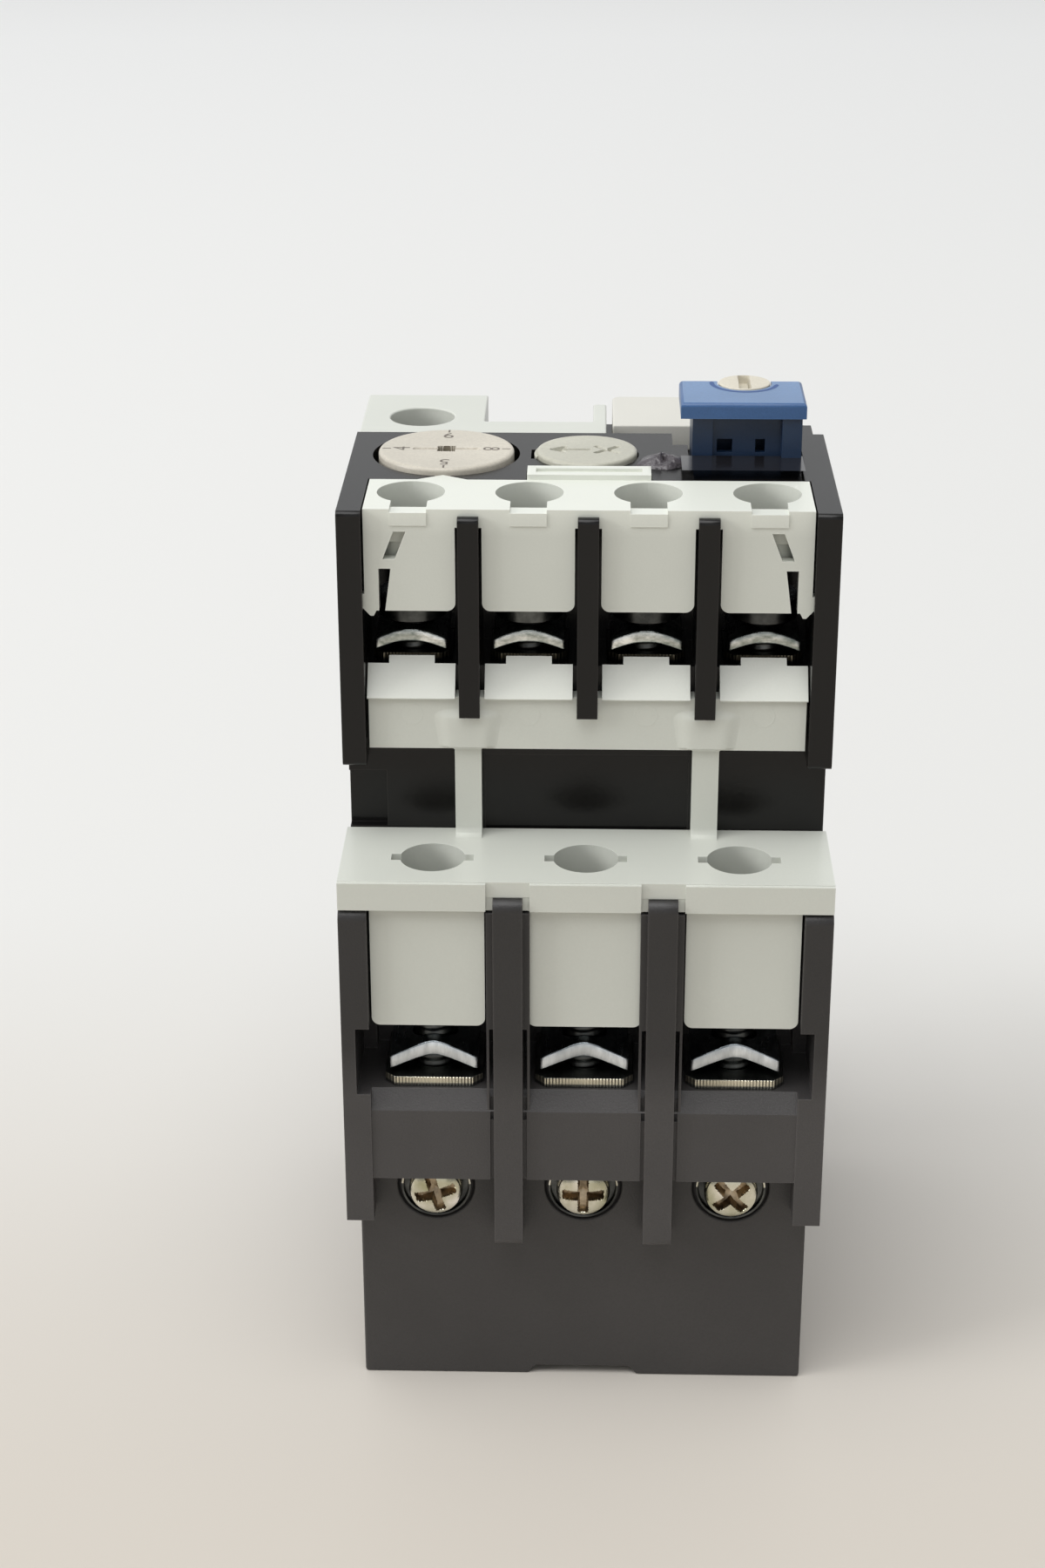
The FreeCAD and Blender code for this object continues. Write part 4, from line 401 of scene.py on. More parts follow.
def lattice(rows, columns, closed_rows=False, closed_columns=True):
    """Faces of a grid of points, row by row. Its columns close on themselves unless they
    are left open, and its rows only if asked."""
    row, column = np.meshgrid(np.arange(rows if closed_rows else rows - 1),
                              np.arange(columns if closed_columns else columns - 1),
                              indexing="ij")
    after, beside = (row + 1) % rows, (column + 1) % columns
    return np.stack([row * columns + column, row * columns + beside,
                     after * columns + beside, after * columns + column],
                    axis=-1).reshape(-1, 4).tolist()


def turned_piece(radii, heights, count):
    """Points and faces of rings about Z, closed by a point at each end. radii holds one
    number a ring or one for every point of it, and so does heights."""
    angles = np.linspace(0, math.tau, count, endpoint=False)
    radii = np.broadcast_to(np.asarray(radii, float).reshape(len(radii), -1),
                            (len(radii), count))
    heights = np.broadcast_to(np.asarray(heights, float).reshape(len(heights), -1),
                              (len(heights), count))
    points = np.stack([radii * np.cos(angles), radii * np.sin(angles), heights], axis=-1)
    ends = np.array([[0, 0, heights[0].mean()], [0, 0, heights[-1].mean()]])
    points = np.concatenate([points.reshape(-1, 3), ends])
    faces = lattice(len(radii), count)
    low, high = len(points) - 2, len(points) - 1
    last = (len(radii) - 1) * count
    faces += [(low, (j + 1) % count, j) for j in range(count)]
    faces += [(high, last + j, last + (j + 1) % count) for j in range(count)]
    return points, faces


def paint(piece, material, chosen):
    """Gives the faces whose centre the test chooses a second material."""
    piece.data.materials.append(material)
    index = len(piece.data.materials) - 1
    for face in piece.data.polygons:
        if chosen(face.center):
            face.material_index = index


def cross_slot(x, y, length, width, depth, turn=0.0):
    """Depth of a cross slot at the points x, y: full on both arms, less towards their ends,
    and its walls lean in over a tenth of a millimetre."""
    u = np.abs(x * math.cos(turn) + y * math.sin(turn))
    v = np.abs(y * math.cos(turn) - x * math.sin(turn))
    outside = np.minimum(np.maximum(u - width / 2, v - length / 2),
                         np.maximum(v - width / 2, u - length / 2))
    wall = np.clip(0.5 - outside / (0.12 * MM), 0, 1)
    return wall * depth * (1 - 0.45 * np.hypot(u, v) / (length / 2))


def screw_mesh(shank, low, head_foot, head_radius, head_top, pitch, turn, count=72):
    """A screw about Z: ridges that climb one pitch a turn up the shank, then the head with
    rolled edges and a cross slot sunk into its rings."""
    angles = np.linspace(0, math.tau, count, endpoint=False)
    climb = np.arange(low, head_foot - pitch / 2, pitch / 7)
    phase = climb[:, None] / pitch - angles[None, :] / math.tau
    ridge = np.abs((phase % 1.0) - 0.5) * 2
    taper = np.clip((climb - low) / pitch, 0, 1)[:, None]
    thread = shank * (0.90 + 0.04 * taper) - 0.16 * pitch * (1 - ridge) + 0.06 * shank
    edge = 0.35 * MM
    corner = np.linspace(0, math.pi / 2, 6)
    inner = np.arange(head_radius - edge - 0.05 * MM, 0.03 * MM, -0.085 * MM)
    radii = np.concatenate([[shank * 0.9, head_radius - edge / 2, head_radius],
                            head_radius - edge + edge * np.cos(corner), inner])
    slot = cross_slot(inner[:, None] * np.cos(angles), inner[:, None] * np.sin(angles),
                      head_radius * 1.15, head_radius * 0.23, head_radius * 0.40, turn)
    rim = np.concatenate([[head_foot, head_foot, head_foot + edge / 2],
                          head_top - edge + edge * np.sin(corner)])
    return turned_piece(
        np.concatenate([thread, np.tile(radii[:, None], (1, count))]),
        np.concatenate([np.tile(np.concatenate([climb, rim])[:, None], (1, count)),
                        head_top - slot]), count)


bright_zinc = plated_metal("bright_zinc", (0.62, 0.66, 0.67), (0.34, 0.36, 0.37), 0.26,
                           (1.0, 1.0, 1.0), 0.25)
# dark steel for painted shade on the screws and the fixing rings
shaded_steel = plated_metal("shaded_steel", (0.13, 0.135, 0.13), (0.04, 0.042, 0.042), 0.30,
                           (1.0, 1.0, 1.0), 0.3)
# name, then in millimetres the shank's radius, the pitch, the height of the head and how far
# under its top the painted shade begins, and last the turn of the slot in radians
screw_places = [(f"main_screw_{number}", 1.95, 0.80, 2.7, 2.3, 0.35 * number)
                for number in (1, 2, 3)]
screw_places += [(f"aux_screw_{number}", 1.70, 0.70, 2.4, 0.5, 0.25 + 0.55 * number)
                 for number in (1, 2, 3, 4)]
screw_places.append(("coil_screw", 1.70, 0.70, 2.4, 0.5, 0.6))
for name, shank, pitch, head_height, shade_depth, turn in screw_places:
    low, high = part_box(name)
    points, faces = screw_mesh(shank * MM, low[2], high[2] - head_height * MM,
                               (high[0] - low[0]) / 2, high[2], pitch * MM, turn)
    points += [(low[0] + high[0]) / 2, (low[1] + high[1]) / 2, 0]
    piece = new_piece(name + "_turned", points, faces, bright_zinc)
    # painted shade: below that depth each screw is dark, under the tongues and down the
    # threads
    paint(piece, shaded_steel, lambda centre: centre.z < high[2] - shade_depth * MM)
    adopt(piece, name)


# ------------------------------------------------------------------ terminal clamps
# Folded zinc plated clamps, one under each screw. They are stamped from strip and bent up
# to a ridge, so drawing lines run from front to back. Their sheared front ends are bare
# metal and are also painted much brighter on the side the lamps light: a painted highlight.

def clamp_mesh(half_width, half_depth, hole, apex, rise, thickness, ridge, count=192):
    """A torus of rings round the hole: out over the top, down the sheared edge and back
    under. The outer ring follows |x/w|^p + |y/d|^p = 1, a rectangle with round corners; the
    height falls from the ridge as (sqrt(u*u + k*k) - k), scaled to the rise."""
    angles = np.linspace(0, math.tau, count, endpoint=False) + math.pi / count
    c, s = np.cos(angles), np.sin(angles)
    power = 44.0
    reach = (np.abs(c / half_width) ** power + np.abs(s / half_depth) ** power) ** (-1 / power)
    spread = np.linspace(0, 1, 15)
    edge = 0.12 * MM
    shares = np.concatenate([spread, [1.0, 1.0], spread[::-1]])
    insets = np.concatenate([np.zeros(14), [edge], [0.0, 0.0], [edge], np.zeros(14)])
    drops = np.concatenate([np.zeros(15), [edge, thickness - edge], np.full(15, thickness)])
    radius = hole + (reach[None, :] - hole) * shares[:, None] - insets[:, None]
    x, y = radius * c, radius * s
    u = np.abs(x) / half_width
    bend = (np.sqrt(u * u + ridge * ridge) - ridge) / (math.sqrt(1 + ridge * ridge) - ridge)
    lean = 1 - 0.10 * u
    z = apex - rise * bend - drops[:, None] * lean
    points = np.stack([x, y, z], axis=-1).reshape(-1, 3)
    return points, lattice(len(shares), count, closed_rows=True)


clamp_zinc = plated_metal("clamp_zinc", (0.60, 0.65, 0.68), (0.25, 0.28, 0.30), 0.24,
                          (1.0, 0.12, 1.0), 0.6, 1600.0)
sheared_lit_zinc = plated_metal("sheared_lit_zinc", (0.93, 0.97, 1.00), (0.50, 0.53, 0.55), 0.40,
                            (1.0, 1.0, 0.3), 0.9, 1500.0)
aged_zinc = plated_metal("aged_zinc", (0.46, 0.49, 0.47), (0.10, 0.11, 0.11), 0.28,
                         (1.0, 0.6, 1.0), 0.6, 1500.0)
sheared_lit_old = plated_metal("sheared_lit_old", (1.00, 1.00, 0.96), (0.17, 0.20, 0.17), 0.36,
                           (0.8, 1.0, 1.7), 1.0, 1300.0)
# name, radius of the hole and thickness in millimetres, roundness of the ridge, finishes
clamp_places = [(f"main_clamp_{number}", 2.15, 1.45, 0.20, clamp_zinc, sheared_lit_zinc)
                for number in (1, 2, 3)]
clamp_places += [(name, 1.90, 1.1, 0.85, aged_zinc, sheared_lit_old)
                 for name in ("aux_clamp_1", "aux_clamp_2", "aux_clamp_3", "aux_clamp_4",
                              "coil_clamp")]
for name, hole, thickness, ridge, material, sheared_lit in clamp_places:
    low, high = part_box(name)
    rise = high[2] - low[2] - thickness * MM
    points, faces = clamp_mesh((high[0] - low[0]) / 2, (high[1] - low[1]) / 2, hole * MM,
                               high[2], rise, thickness * MM, ridge)
    points += [(low[0] + high[0]) / 2, (low[1] + high[1]) / 2, 0]
    piece = new_piece(name + "_folded", points, faces, material, 50.0)
    # the frontmost faces are bare sheared metal and also painted brighter: a painted highlight
    paint(piece, sheared_lit, lambda centre: centre.y < low[1] + 0.03 * MM)
    adopt(piece, name)


# ------------------------------------------------------------------ details of the covers
# Where the two uprights run into the cross strip the moulding swells softly. Round marks
# of the ejector pins show on the strip, a curved wall stands behind the snap slots, and a
# thin web closes the lip's two cut-outs behind the barriers.

STRIP_Y = -22.5 * MM
FLARE_FRONT = 0.20 * MM
SWELLING_FOOT, SWELLING_TOP = 64.0 * MM, 67.9 * MM
SWELLING_HALF, SWELLING_HEIGHT = 3.5 * MM, 0.32 * MM
EJECTOR_Z = 67.3 * MM
OUTER_SCREW_X, OUTER_SCREW_Y = POST_X[-1] * MM, -17.1 * MM
SLOT_WALL_RADIUS = 4.3 * MM
SLOT_WALL_LEVELS = (82.0 * MM, 85.4 * MM)
WEB_Y, WEB_HALF = -32.33 * MM, 2.15 * MM
WEB_FOOT, WEB_TOP = 52.15 * MM, 53.50 * MM

# the flares stand flat in front of the strip: they are laid back against it, and the
# swellings take their place
corners = np.empty(3 * len(main_cover.data.vertices), np.float32)
main_cover.data.vertices.foreach_get("co", corners)
corners = corners.reshape(-1, 3)
on_the_flare = ((np.abs(corners[:, 1] - STRIP_Y + FLARE_FRONT) < 0.05 * MM)
                & (corners[:, 2] > SWELLING_FOOT + 0.5 * MM))
corners[on_the_flare, 1] = STRIP_Y - 0.02 * MM
main_cover.data.vertices.foreach_set("co", corners.ravel())
main_cover.data.update()


def swelling(middle):
    """A patch of the strip raised by its height times the product of two flat-topped waves,
    1 / (1 + (1.45 u)^8) across and 1 / (1 + (1.3 v)^8) in the upper half, with a step at
    its foot. Its width is multiplied by 0.98 + 0.10 v, so it spreads upwards."""
    u, v = np.meshgrid(np.linspace(-1, 1, 41), np.linspace(-1, 1, 33), indexing="ij")
    flat = 1 / (1 + (1.45 * u) ** 8) / (1 + (1.3 * np.maximum(v, 0)) ** 8)
    rim = 1 / (1 + 1.3 ** 8)
    height = np.clip((flat - rim) / (1 - rim), 0, 1) * SWELLING_HEIGHT
    height[:, 0] = 0
    narrowing = 0.98 + 0.10 * v
    level = (SWELLING_TOP + SWELLING_FOOT) / 2 + v * (SWELLING_TOP - SWELLING_FOOT) / 2
    points = np.stack([middle + u * SWELLING_HALF * narrowing,
                       STRIP_Y - height + 0.015 * MM, level], axis=-1)
    return points.reshape(-1, 3), lattice(41, 33, closed_columns=False)


def ejector_mark(x):
    """A ring that stands 0.02 mm out of the strip round the place where a pin pushed."""
    angles = np.linspace(0, math.tau, 40, endpoint=False)
    rings = np.array([(1.12, -0.004), (1.02, -0.020), (0.92, -0.004)]) * MM
    mark = np.stack([x + rings[:, :1] * np.cos(angles),
                     STRIP_Y + np.tile(rings[:, 1:], (1, 40)),
                     EJECTOR_Z + rings[:, :1] * np.sin(angles)], axis=-1)
    return mark.reshape(-1, 3), lattice(3, 40)


def slot_wall(side):
    """A stretch of an upright cylinder about the outer screw of one side."""
    arc = np.radians(np.linspace(-85.0, -30.0, 15))
    wall = np.stack([np.stack([side * (OUTER_SCREW_X + SLOT_WALL_RADIUS * np.cos(arc)),
                               OUTER_SCREW_Y + SLOT_WALL_RADIUS * np.sin(arc),
                               np.full(15, level)], axis=-1) for level in SLOT_WALL_LEVELS])
    return wall.reshape(-1, 3), lattice(2, 15, closed_columns=False)


def lip_web(x):
    """A flat upright web behind one cut-out of the lip."""
    left, right = x - WEB_HALF, x + WEB_HALF
    web = [(left, WEB_Y, WEB_FOOT), (right, WEB_Y, WEB_FOOT), (right, WEB_Y, WEB_TOP),
           (left, WEB_Y, WEB_TOP)]
    return np.array(web), [(0, 1, 2, 3)]


extras = [(f"swelling_{number}", *swelling(x * MM))
          for number, x in enumerate(UPRIGHT_X, start=1)]
extras += [(f"ejector_mark_{number}", *ejector_mark(x * MM))
           for number, x in enumerate(POST_X, start=1)]
extras += [(f"slot_wall_{number}", *slot_wall(side)) for number, side in ((1, -1), (2, 1))]
extras += [(f"lip_web_{number}", *lip_web(x * MM))
           for number, x in enumerate(BARRIER_X, start=1)]
for name, points, faces in extras:
    lay_on(new_piece(name, points, faces, cover_grey, 60.0), "main_terminal_cover")


# ------------------------------------------------------------------ contact plates
# Stamped base plates under the clamps, zinc plated over brass. Their front edges are
# scored with upright teeth so that a wire doesn't slip; the front faces are a pale brass
# colour in a band along their top and dark below it.

def scored_metal(name, colour, edge_colour, pitch, pale_band_foot):
    """Plated metal with upright teeth: a triangle wave along X raises the surface, and
    faces that look towards -Y take the edge's colour above the level pale_band_foot."""
    material = plated_metal(name, colour, tuple(0.45 * c for c in colour), 0.30,
                            (1.0, 0.5, 1.0), 0.2)
    tree = material.node_tree
    shader = tree.nodes["Principled BSDF"]
    link = tree.links.new
    split = add_node(tree, "ShaderNodeSeparateXYZ")
    link(add_node(tree, "ShaderNodeTexCoord").outputs["Object"], split.inputs["Vector"])
    teeth = add_node(tree, "ShaderNodeMath", operation="PINGPONG")
    teeth.inputs[1].default_value = pitch / 2
    link(split.outputs["X"], teeth.inputs[0])
    facing = add_node(tree, "ShaderNodeSeparateXYZ")
    link(add_node(tree, "ShaderNodeNewGeometry").outputs["Normal"], facing.inputs["Vector"])
    front = add_node(tree, "ShaderNodeMapRange", at_From_Min=-0.4, at_From_Max=-0.9)
    link(facing.outputs["Y"], front.inputs["Value"])
    above = add_node(tree, "ShaderNodeMapRange", at_From_Min=pale_band_foot - 0.10 * MM,
                     at_From_Max=pale_band_foot + 0.05 * MM, at_To_Min=0.06)
    link(split.outputs["Z"], above.inputs["Value"])
    bump = add_node(tree, "ShaderNodeBump", at_Distance=0.7)
    link(front.outputs["Result"], bump.inputs["Strength"])
    link(teeth.outputs["Value"], bump.inputs["Height"])
    link(bump.outputs["Normal"], shader.inputs["Normal"])
    band = product(tree, front.outputs["Result"], above.outputs["Result"])
    plating = shader.inputs["Base Color"].links[0].from_socket
    link(mixed_colours(tree, band, plating, edge_colour), shader.inputs["Base Color"])
    return material


plate_metal = scored_metal("plate_metal", (0.30, 0.31, 0.29), (0.90, 0.84, 0.66), 0.30 * MM,
                           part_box("main_plate_1")[1][2] - 0.62 * MM)
dull_plate = scored_metal("dull_plate", (0.12, 0.125, 0.115), (0.22, 0.20, 0.15), 0.30 * MM,
                          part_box("aux_plate_1")[1][2] - 0.5 * MM)
for name in ("main_plate_1", "main_plate_2", "main_plate_3"):
    softened_copy(name, plate_metal, 0.10 * MM)
for name in ("aux_plate_1", "aux_plate_2", "aux_plate_3", "aux_plate_4", "coil_plate"):
    softened_copy(name, dull_plate, 0.10 * MM)


# ------------------------------------------------------------------ heater fixing screws
# Three pan-head screws with yellow passivated zinc under the skirt; their cross recesses are
# painted dark brown deep down: painted shade. They sit in cupped steel rings of which only the
# rim catches the light, and the rings' lower half and inner back are painted dark: painted
# shade.

def joined(parts):
    """The points and the faces of several meshes as those of one."""
    all_points, all_faces, start = [], [], 0
    for points, faces in parts:
        all_faces += [tuple(start + corner for corner in face) for face in faces]
        all_points.append(points)
        start += len(points)
    return np.concatenate(all_points), all_faces


def on_a_stem(stem, radii, heights):
    """A stem's rings, each a radius and a height, put before the rings of a face."""
    stem = np.array(stem)
    return (np.concatenate([stem[:, 0], radii]),
            np.concatenate([np.tile(stem[:, 1:], (1, heights.shape[1])), heights]))


def pan_height(out):
    """Height of the fixing screw's head at a distance from its middle: it falls by 0.42 of
    itself towards the rim, with the cube of the distance."""
    return head_height * (1 - 0.42 * (out / head_radius) ** 3)


def in_the_slot(centre):
    """True well under the dome of the nearest head."""
    out = math.hypot(centre.x - spacing * round(centre.x / spacing), centre.z - centre_z)
    return out < 0.9 * head_radius and head_foot - centre.y < pan_height(out) - 0.22 * MM


yellow_zinc = plated_metal("yellow_zinc", (1.00, 0.95, 0.87), (0.42, 0.41, 0.26), 0.22,
                           (1.0, 1.0, 0.6), 1.0, 430.0)
slot_shade_brown = plated_metal("slot_shade_brown", (0.66, 0.54, 0.38), (0.12, 0.09, 0.06), 0.30,
                          (1.0, 1.0, 1.0), 0.6)
low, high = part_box("fixing_screws")
head_radius = 2.55 * MM
head_height = 1.6 * MM
head_foot = low[1] + head_height
centre_z = (low[2] + high[2]) / 2
spacing = (high[0] - low[0] - 2 * head_radius) / 2
count = 96
angles = np.linspace(0, math.tau, count, endpoint=False)
inner = np.arange(head_radius * 0.93, 0.03 * MM, -0.07 * MM)
stem = [(1.45 * MM, head_foot - high[1]), (1.45 * MM, 0.0), (2.45 * MM, 0.0),
        (head_radius, 0.1 * MM), (head_radius, 0.55 * MM)]
heads = []
for pole, turn in ((-1, 0.28), (0, 0.0), (1, 0.72)):
    slot = cross_slot(inner[:, None] * np.cos(angles), inner[:, None] * np.sin(angles),
                      3.8 * MM, 0.85 * MM, 1.5 * MM, turn)
    points, faces = turned_piece(*on_a_stem(stem, inner, pan_height(inner[:, None]) - slot),
                                 count)
    x, y, z = points.T
    heads.append((np.stack([x + pole * spacing, head_foot - z, centre_z + y], axis=-1), faces))
piece = new_piece("fixing_screws_turned", *joined(heads), yellow_zinc)
# painted shade: the deep part of each cross recess is coloured dark brown
paint(piece, slot_shade_brown, in_the_slot)
adopt(piece, "fixing_screws")

low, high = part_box("fixing_rings")
ring_width = 7.0 * MM
cup = np.array([(1.60, 0.00), (3.36, 0.00), (3.36, -0.52), (3.32, -0.60), (3.20, -0.60),
                (3.14, -0.56), (3.05, -0.10), (1.60, -0.10)]) * MM
ring = np.stack([cup[:, :1] * np.cos(angles), np.tile(cup[:, 1:], (1, count)),
                 cup[:, :1] * np.sin(angles)], axis=-1).reshape(-1, 3)
rings = [(ring + [pole * (high[0] - low[0] - ring_width) / 2, high[1],
                  (low[2] + high[2]) / 2], lattice(len(cup), count, closed_rows=True))
         for pole in (-1, 0, 1)]
ring_steel = plated_metal("ring_steel", (0.90, 0.88, 0.78), (0.45, 0.43, 0.36), 0.34,
                          (1.0, 1.0, 1.0), 0.2)
piece = new_piece("fixing_rings_pressed", *joined(rings), ring_steel)
# painted shade on the rings' lower half and on their inner back
paint(piece, shaded_steel,
      lambda centre: centre.z < centre_z + 0.3 * MM or centre.y > high[1] - 0.45 * MM)
adopt(piece, "fixing_rings")


# ------------------------------------------------------------------ setting dial
# A cream acetal disc in a round well, with a square socket and a thin slot across it for
# the screwdriver. Plain numbers and short strokes are printed round the rim.

def disc_mesh(stem, radius, edge, top, depth, step, count):
    """A disc on a stem: the stem's rings, the rolled edge, then rings of the face from
    there inwards, into which depth(x, y) is sunk."""
    angles = np.linspace(0, math.tau, count, endpoint=False)
    corner = np.linspace(0, math.pi / 2, 5)
    inner = np.arange(radius - edge - step, step / 3, -step)
    sunk = depth(inner[:, None] * np.cos(angles), inner[:, None] * np.sin(angles))
    radii = np.concatenate([radius - edge + edge * np.cos(corner), inner])
    heights = np.concatenate([np.tile((top - edge + edge * np.sin(corner))[:, None],
                                      (1, count)), top - sunk])
    return turned_piece(*on_a_stem(stem, radii, heights), count)


def stroke(x, y, start, end, width):
    """1 on a straight stroke between two points, falling to 0 over a tenth of a millimetre."""
    run = np.array(end) - start
    share = np.clip(((x - start[0]) * run[0] + (y - start[1]) * run[1]) / (run @ run), 0, 1)
    away = np.hypot(x - start[0] - share * run[0], y - start[1] - share * run[1])
    return np.clip(0.5 - (away - width / 2) / (0.10 * MM), 0, 1)


def dial_relief(x, y):
    """A square socket 1.6 mm deep and a shallow slot through it."""
    square = np.clip(0.5 - (np.maximum(np.abs(x), np.abs(y)) - 0.78 * MM) / (0.08 * MM), 0, 1)
    groove = stroke(x, y, (-2.9 * MM, 0), (2.9 * MM, 0), 0.50 * MM)
    return np.maximum(square * 1.6 * MM, groove * 0.35 * MM)


# the dial's edges are painted lighter in patches: a painted highlight
dial_cream = moulded_plastic("dial_cream", (0.52, 0.485, 0.410), 0.36, 4200.0, 0.08,
                             edge_highlight=(0.76, 0.72, 0.64))
print_brown = moulded_plastic("print_brown", (0.14, 0.12, 0.10), 0.55, 4200.0, 0.05)
socket_shade_brown = moulded_plastic("socket_shade_brown", (0.20, 0.175, 0.13), 0.50, 4200.0, 0.08)
low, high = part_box("setting_dial")
dial_x, dial_y = (low[0] + high[0]) / 2, (low[1] + high[1]) / 2
radius = 6.4 * MM
foot = high[2] - 3.0 * MM
stem = [(2.0 * MM, low[2]), (2.0 * MM, foot), (6.2 * MM, foot), (radius, foot + 0.2 * MM)]
points, faces = disc_mesh(stem, radius, 0.35 * MM, high[2], dial_relief, 0.11 * MM, 160)
piece = new_piece("dial_disc", points + [dial_x, dial_y, 0], faces, dial_cream)
# painted shade: the socket's walls below 0.5 mm are coloured dark brown
paint(piece, socket_shade_brown, lambda centre: foot < centre.z < high[2] - 0.5 * MM
      and math.hypot(centre.x - dial_x, centre.y - dial_y) < 1.3 * MM)
adopt(piece, "setting_dial")

number_size, number_circle = 2.3 * MM, 4.15 * MM
stroke_half, stroke_start, stroke_end = 0.09 * MM, 5.25 * MM, 6.05 * MM
printed = []
for word, angle in (("4", 180.0), ("6", 90.0), ("8", 0.0), ("5", 270.0)):
    letters = bpy.data.curves.new("number_" + word, "FONT")
    letters.body = word
    letters.size = number_size
    letters.align_x = "CENTER"
    letters.align_y = "CENTER"
    letters.resolution_u = 3
    shown = bpy.data.objects.new("number_" + word, letters)
    bpy.context.scene.collection.objects.link(shown)
    bpy.context.view_layer.update()
    flat = bpy.data.meshes.new_from_object(shown.evaluated_get(
        bpy.context.evaluated_depsgraph_get()))
    xy = np.array([tuple(v.co)[:2] for v in flat.vertices])
    turn = math.radians(angle)
    out = np.array([math.cos(turn), math.sin(turn)])
    across = np.array([math.sin(turn), -math.cos(turn)])
    printed.append((out * number_circle + xy[:, 1:] * out + xy[:, :1] * across,
                    [tuple(face.vertices) for face in flat.polygons]))
    bpy.data.objects.remove(shown)
    half = across * stroke_half
    inner_end, outer_end = out * stroke_start, out * stroke_end
    printed.append((np.array([inner_end - half, outer_end - half, outer_end + half,
                              inner_end + half]), [(0, 1, 2, 3)]))
flat, printed_faces = joined(printed)
flat = np.column_stack([flat + [dial_x, dial_y], np.full(len(flat), high[2] + 0.01 * MM)])
numbers = new_piece("dial_numbers", flat, printed_faces, print_brown)
for face in numbers.data.polygons:
    if face.normal.z < 0:
        face.flip()
lay_on(numbers, "setting_dial")


# ------------------------------------------------------------------ test button
# An off-white disc with a tab at the left, flush in its well. An arrow and a cross are
# sunk into its face.

def button_relief(x, y):
    """An arrow that points left and a diagonal cross beside it."""
    marks = [((-3.2, 0.0), (0.2, 0.0)), ((-3.2, 0.0), (-2.1, 0.75)),
             ((-3.2, 0.0), (-2.1, -0.75)), ((0.9, 0.95), (2.9, -0.95)),
             ((0.9, -0.95), (2.9, 0.95))]
    cut = sum(stroke(x, y, np.array(a) * MM, np.array(b) * MM, 0.42 * MM) for a, b in marks)
    return np.clip(cut, 0, 1) * 0.45 * MM


# the button's edges are painted lighter in patches: a painted highlight
button_cream = moulded_plastic("button_cream", (0.455, 0.447, 0.372), 0.36, 4200.0, 0.08,
                               edge_highlight=(0.70, 0.69, 0.60))
low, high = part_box("test_button")
radius = 4.75 * MM
middle_x, middle_y = high[0] - radius, (low[1] + high[1]) / 2
foot = high[2] - 1.6 * MM
stem = [(1.6 * MM, low[2]), (1.6 * MM, foot), (4.6 * MM, foot), (radius, foot + 0.15 * MM)]
points, faces = disc_mesh(stem, radius, 0.30 * MM, high[2], button_relief, 0.10 * MM, 144)
adopt(new_piece("test_disc", points + [middle_x, middle_y, 0], faces, button_cream),
      "test_button")
arc = np.linspace(math.pi - 0.28, math.pi + 0.28, 13)
levels = np.array([foot, high[2] - 0.42 * MM, high[2] - 0.30 * MM, high[2] - 0.30 * MM])
reach = np.array([0.20, 0.20, 0.10, -0.45]) * MM
lug = np.stack([middle_x + (radius + reach[:, None]) * np.cos(arc),
                middle_y + (radius + reach[:, None]) * np.sin(arc),
                np.tile(levels[:, None], (1, len(arc)))], axis=-1)
inside = np.stack([middle_x + (radius - 0.6 * MM) * np.cos(arc),
                   middle_y + (radius - 0.6 * MM) * np.sin(arc),
                   np.full(len(arc), foot)], axis=-1)
loop = np.concatenate([lug, inside[None]])
rows, columns = loop.shape[:2]
faces = lattice(rows, columns, closed_rows=True, closed_columns=False)
faces += [tuple(i * columns for i in range(rows)),
          tuple(i * columns + columns - 1 for i in range(rows))[::-1]]
lay_on(new_piece("test_tab", loop.reshape(-1, 3), faces, button_cream), "test_button")


# ------------------------------------------------------------------ reset button
# A blue acetal head on a hollow stem with two small windows. All more than 1.45 mm under
# the top is painted a much darker blue, painted shade under the head; the top face is
# painted a paler blue, a painted sheen; the edges are painted lighter, a painted highlight.
# The shallow arc groove in the head beside the selector is drawn as a dark blue strip laid
# on the head: painted shade.

reset_blue = moulded_plastic("reset_blue", (0.036, 0.102, 0.250), 0.34, 5200.0, 0.12,
                             edge_highlight=(0.14, 0.25, 0.45))
top_sheen_blue = moulded_plastic("top_sheen_blue", (0.135, 0.225, 0.390), 0.38, 3200.0, 0.25,
                              edge_highlight=(0.30, 0.42, 0.62))
shaded_stem_blue = moulded_plastic("shaded_stem_blue", (0.011, 0.030, 0.072), 0.36, 5200.0, 0.12)
groove_shade_blue = moulded_plastic("groove_shade_blue", (0.035, 0.085, 0.235), 0.55, 5200.0, 0.10)
RESET_X = (12.0, 12.7, 14.6, 16.0)
piece = softened_copy("reset_button", reset_blue, 0.20 * MM, RESET_X)
low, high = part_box("reset_button")
# painted shade: a much darker blue under the head
paint(piece, shaded_stem_blue, lambda centre: centre.z < high[2] - 1.45 * MM)
# painted sheen: a paler blue on the top face
paint(piece, top_sheen_blue, lambda centre: centre.z > high[2] - 0.02 * MM)
knob_low, knob_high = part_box("mode_selector")
knob_x, knob_y = (knob_low[0] + knob_high[0]) / 2, (knob_low[1] + knob_high[1]) / 2
count = 60
groove_radius, groove_half = 3.1 * MM, 0.22 * MM
arc = np.radians(np.linspace(172.0, 352.0, count))
ends = np.minimum(np.minimum(np.arange(count), np.arange(count)[::-1]) / 3.0, 1.0)
half = groove_half * np.sqrt(ends * (2 - ends) + 0.02)
sheet = np.stack([np.stack([knob_x + (groove_radius + sign * half) * np.cos(arc),
                            knob_y + (groove_radius + sign * half) * np.sin(arc),
                            np.full(count, high[2] + 0.008 * MM)], axis=-1)
                  for sign in (-1, 1)])
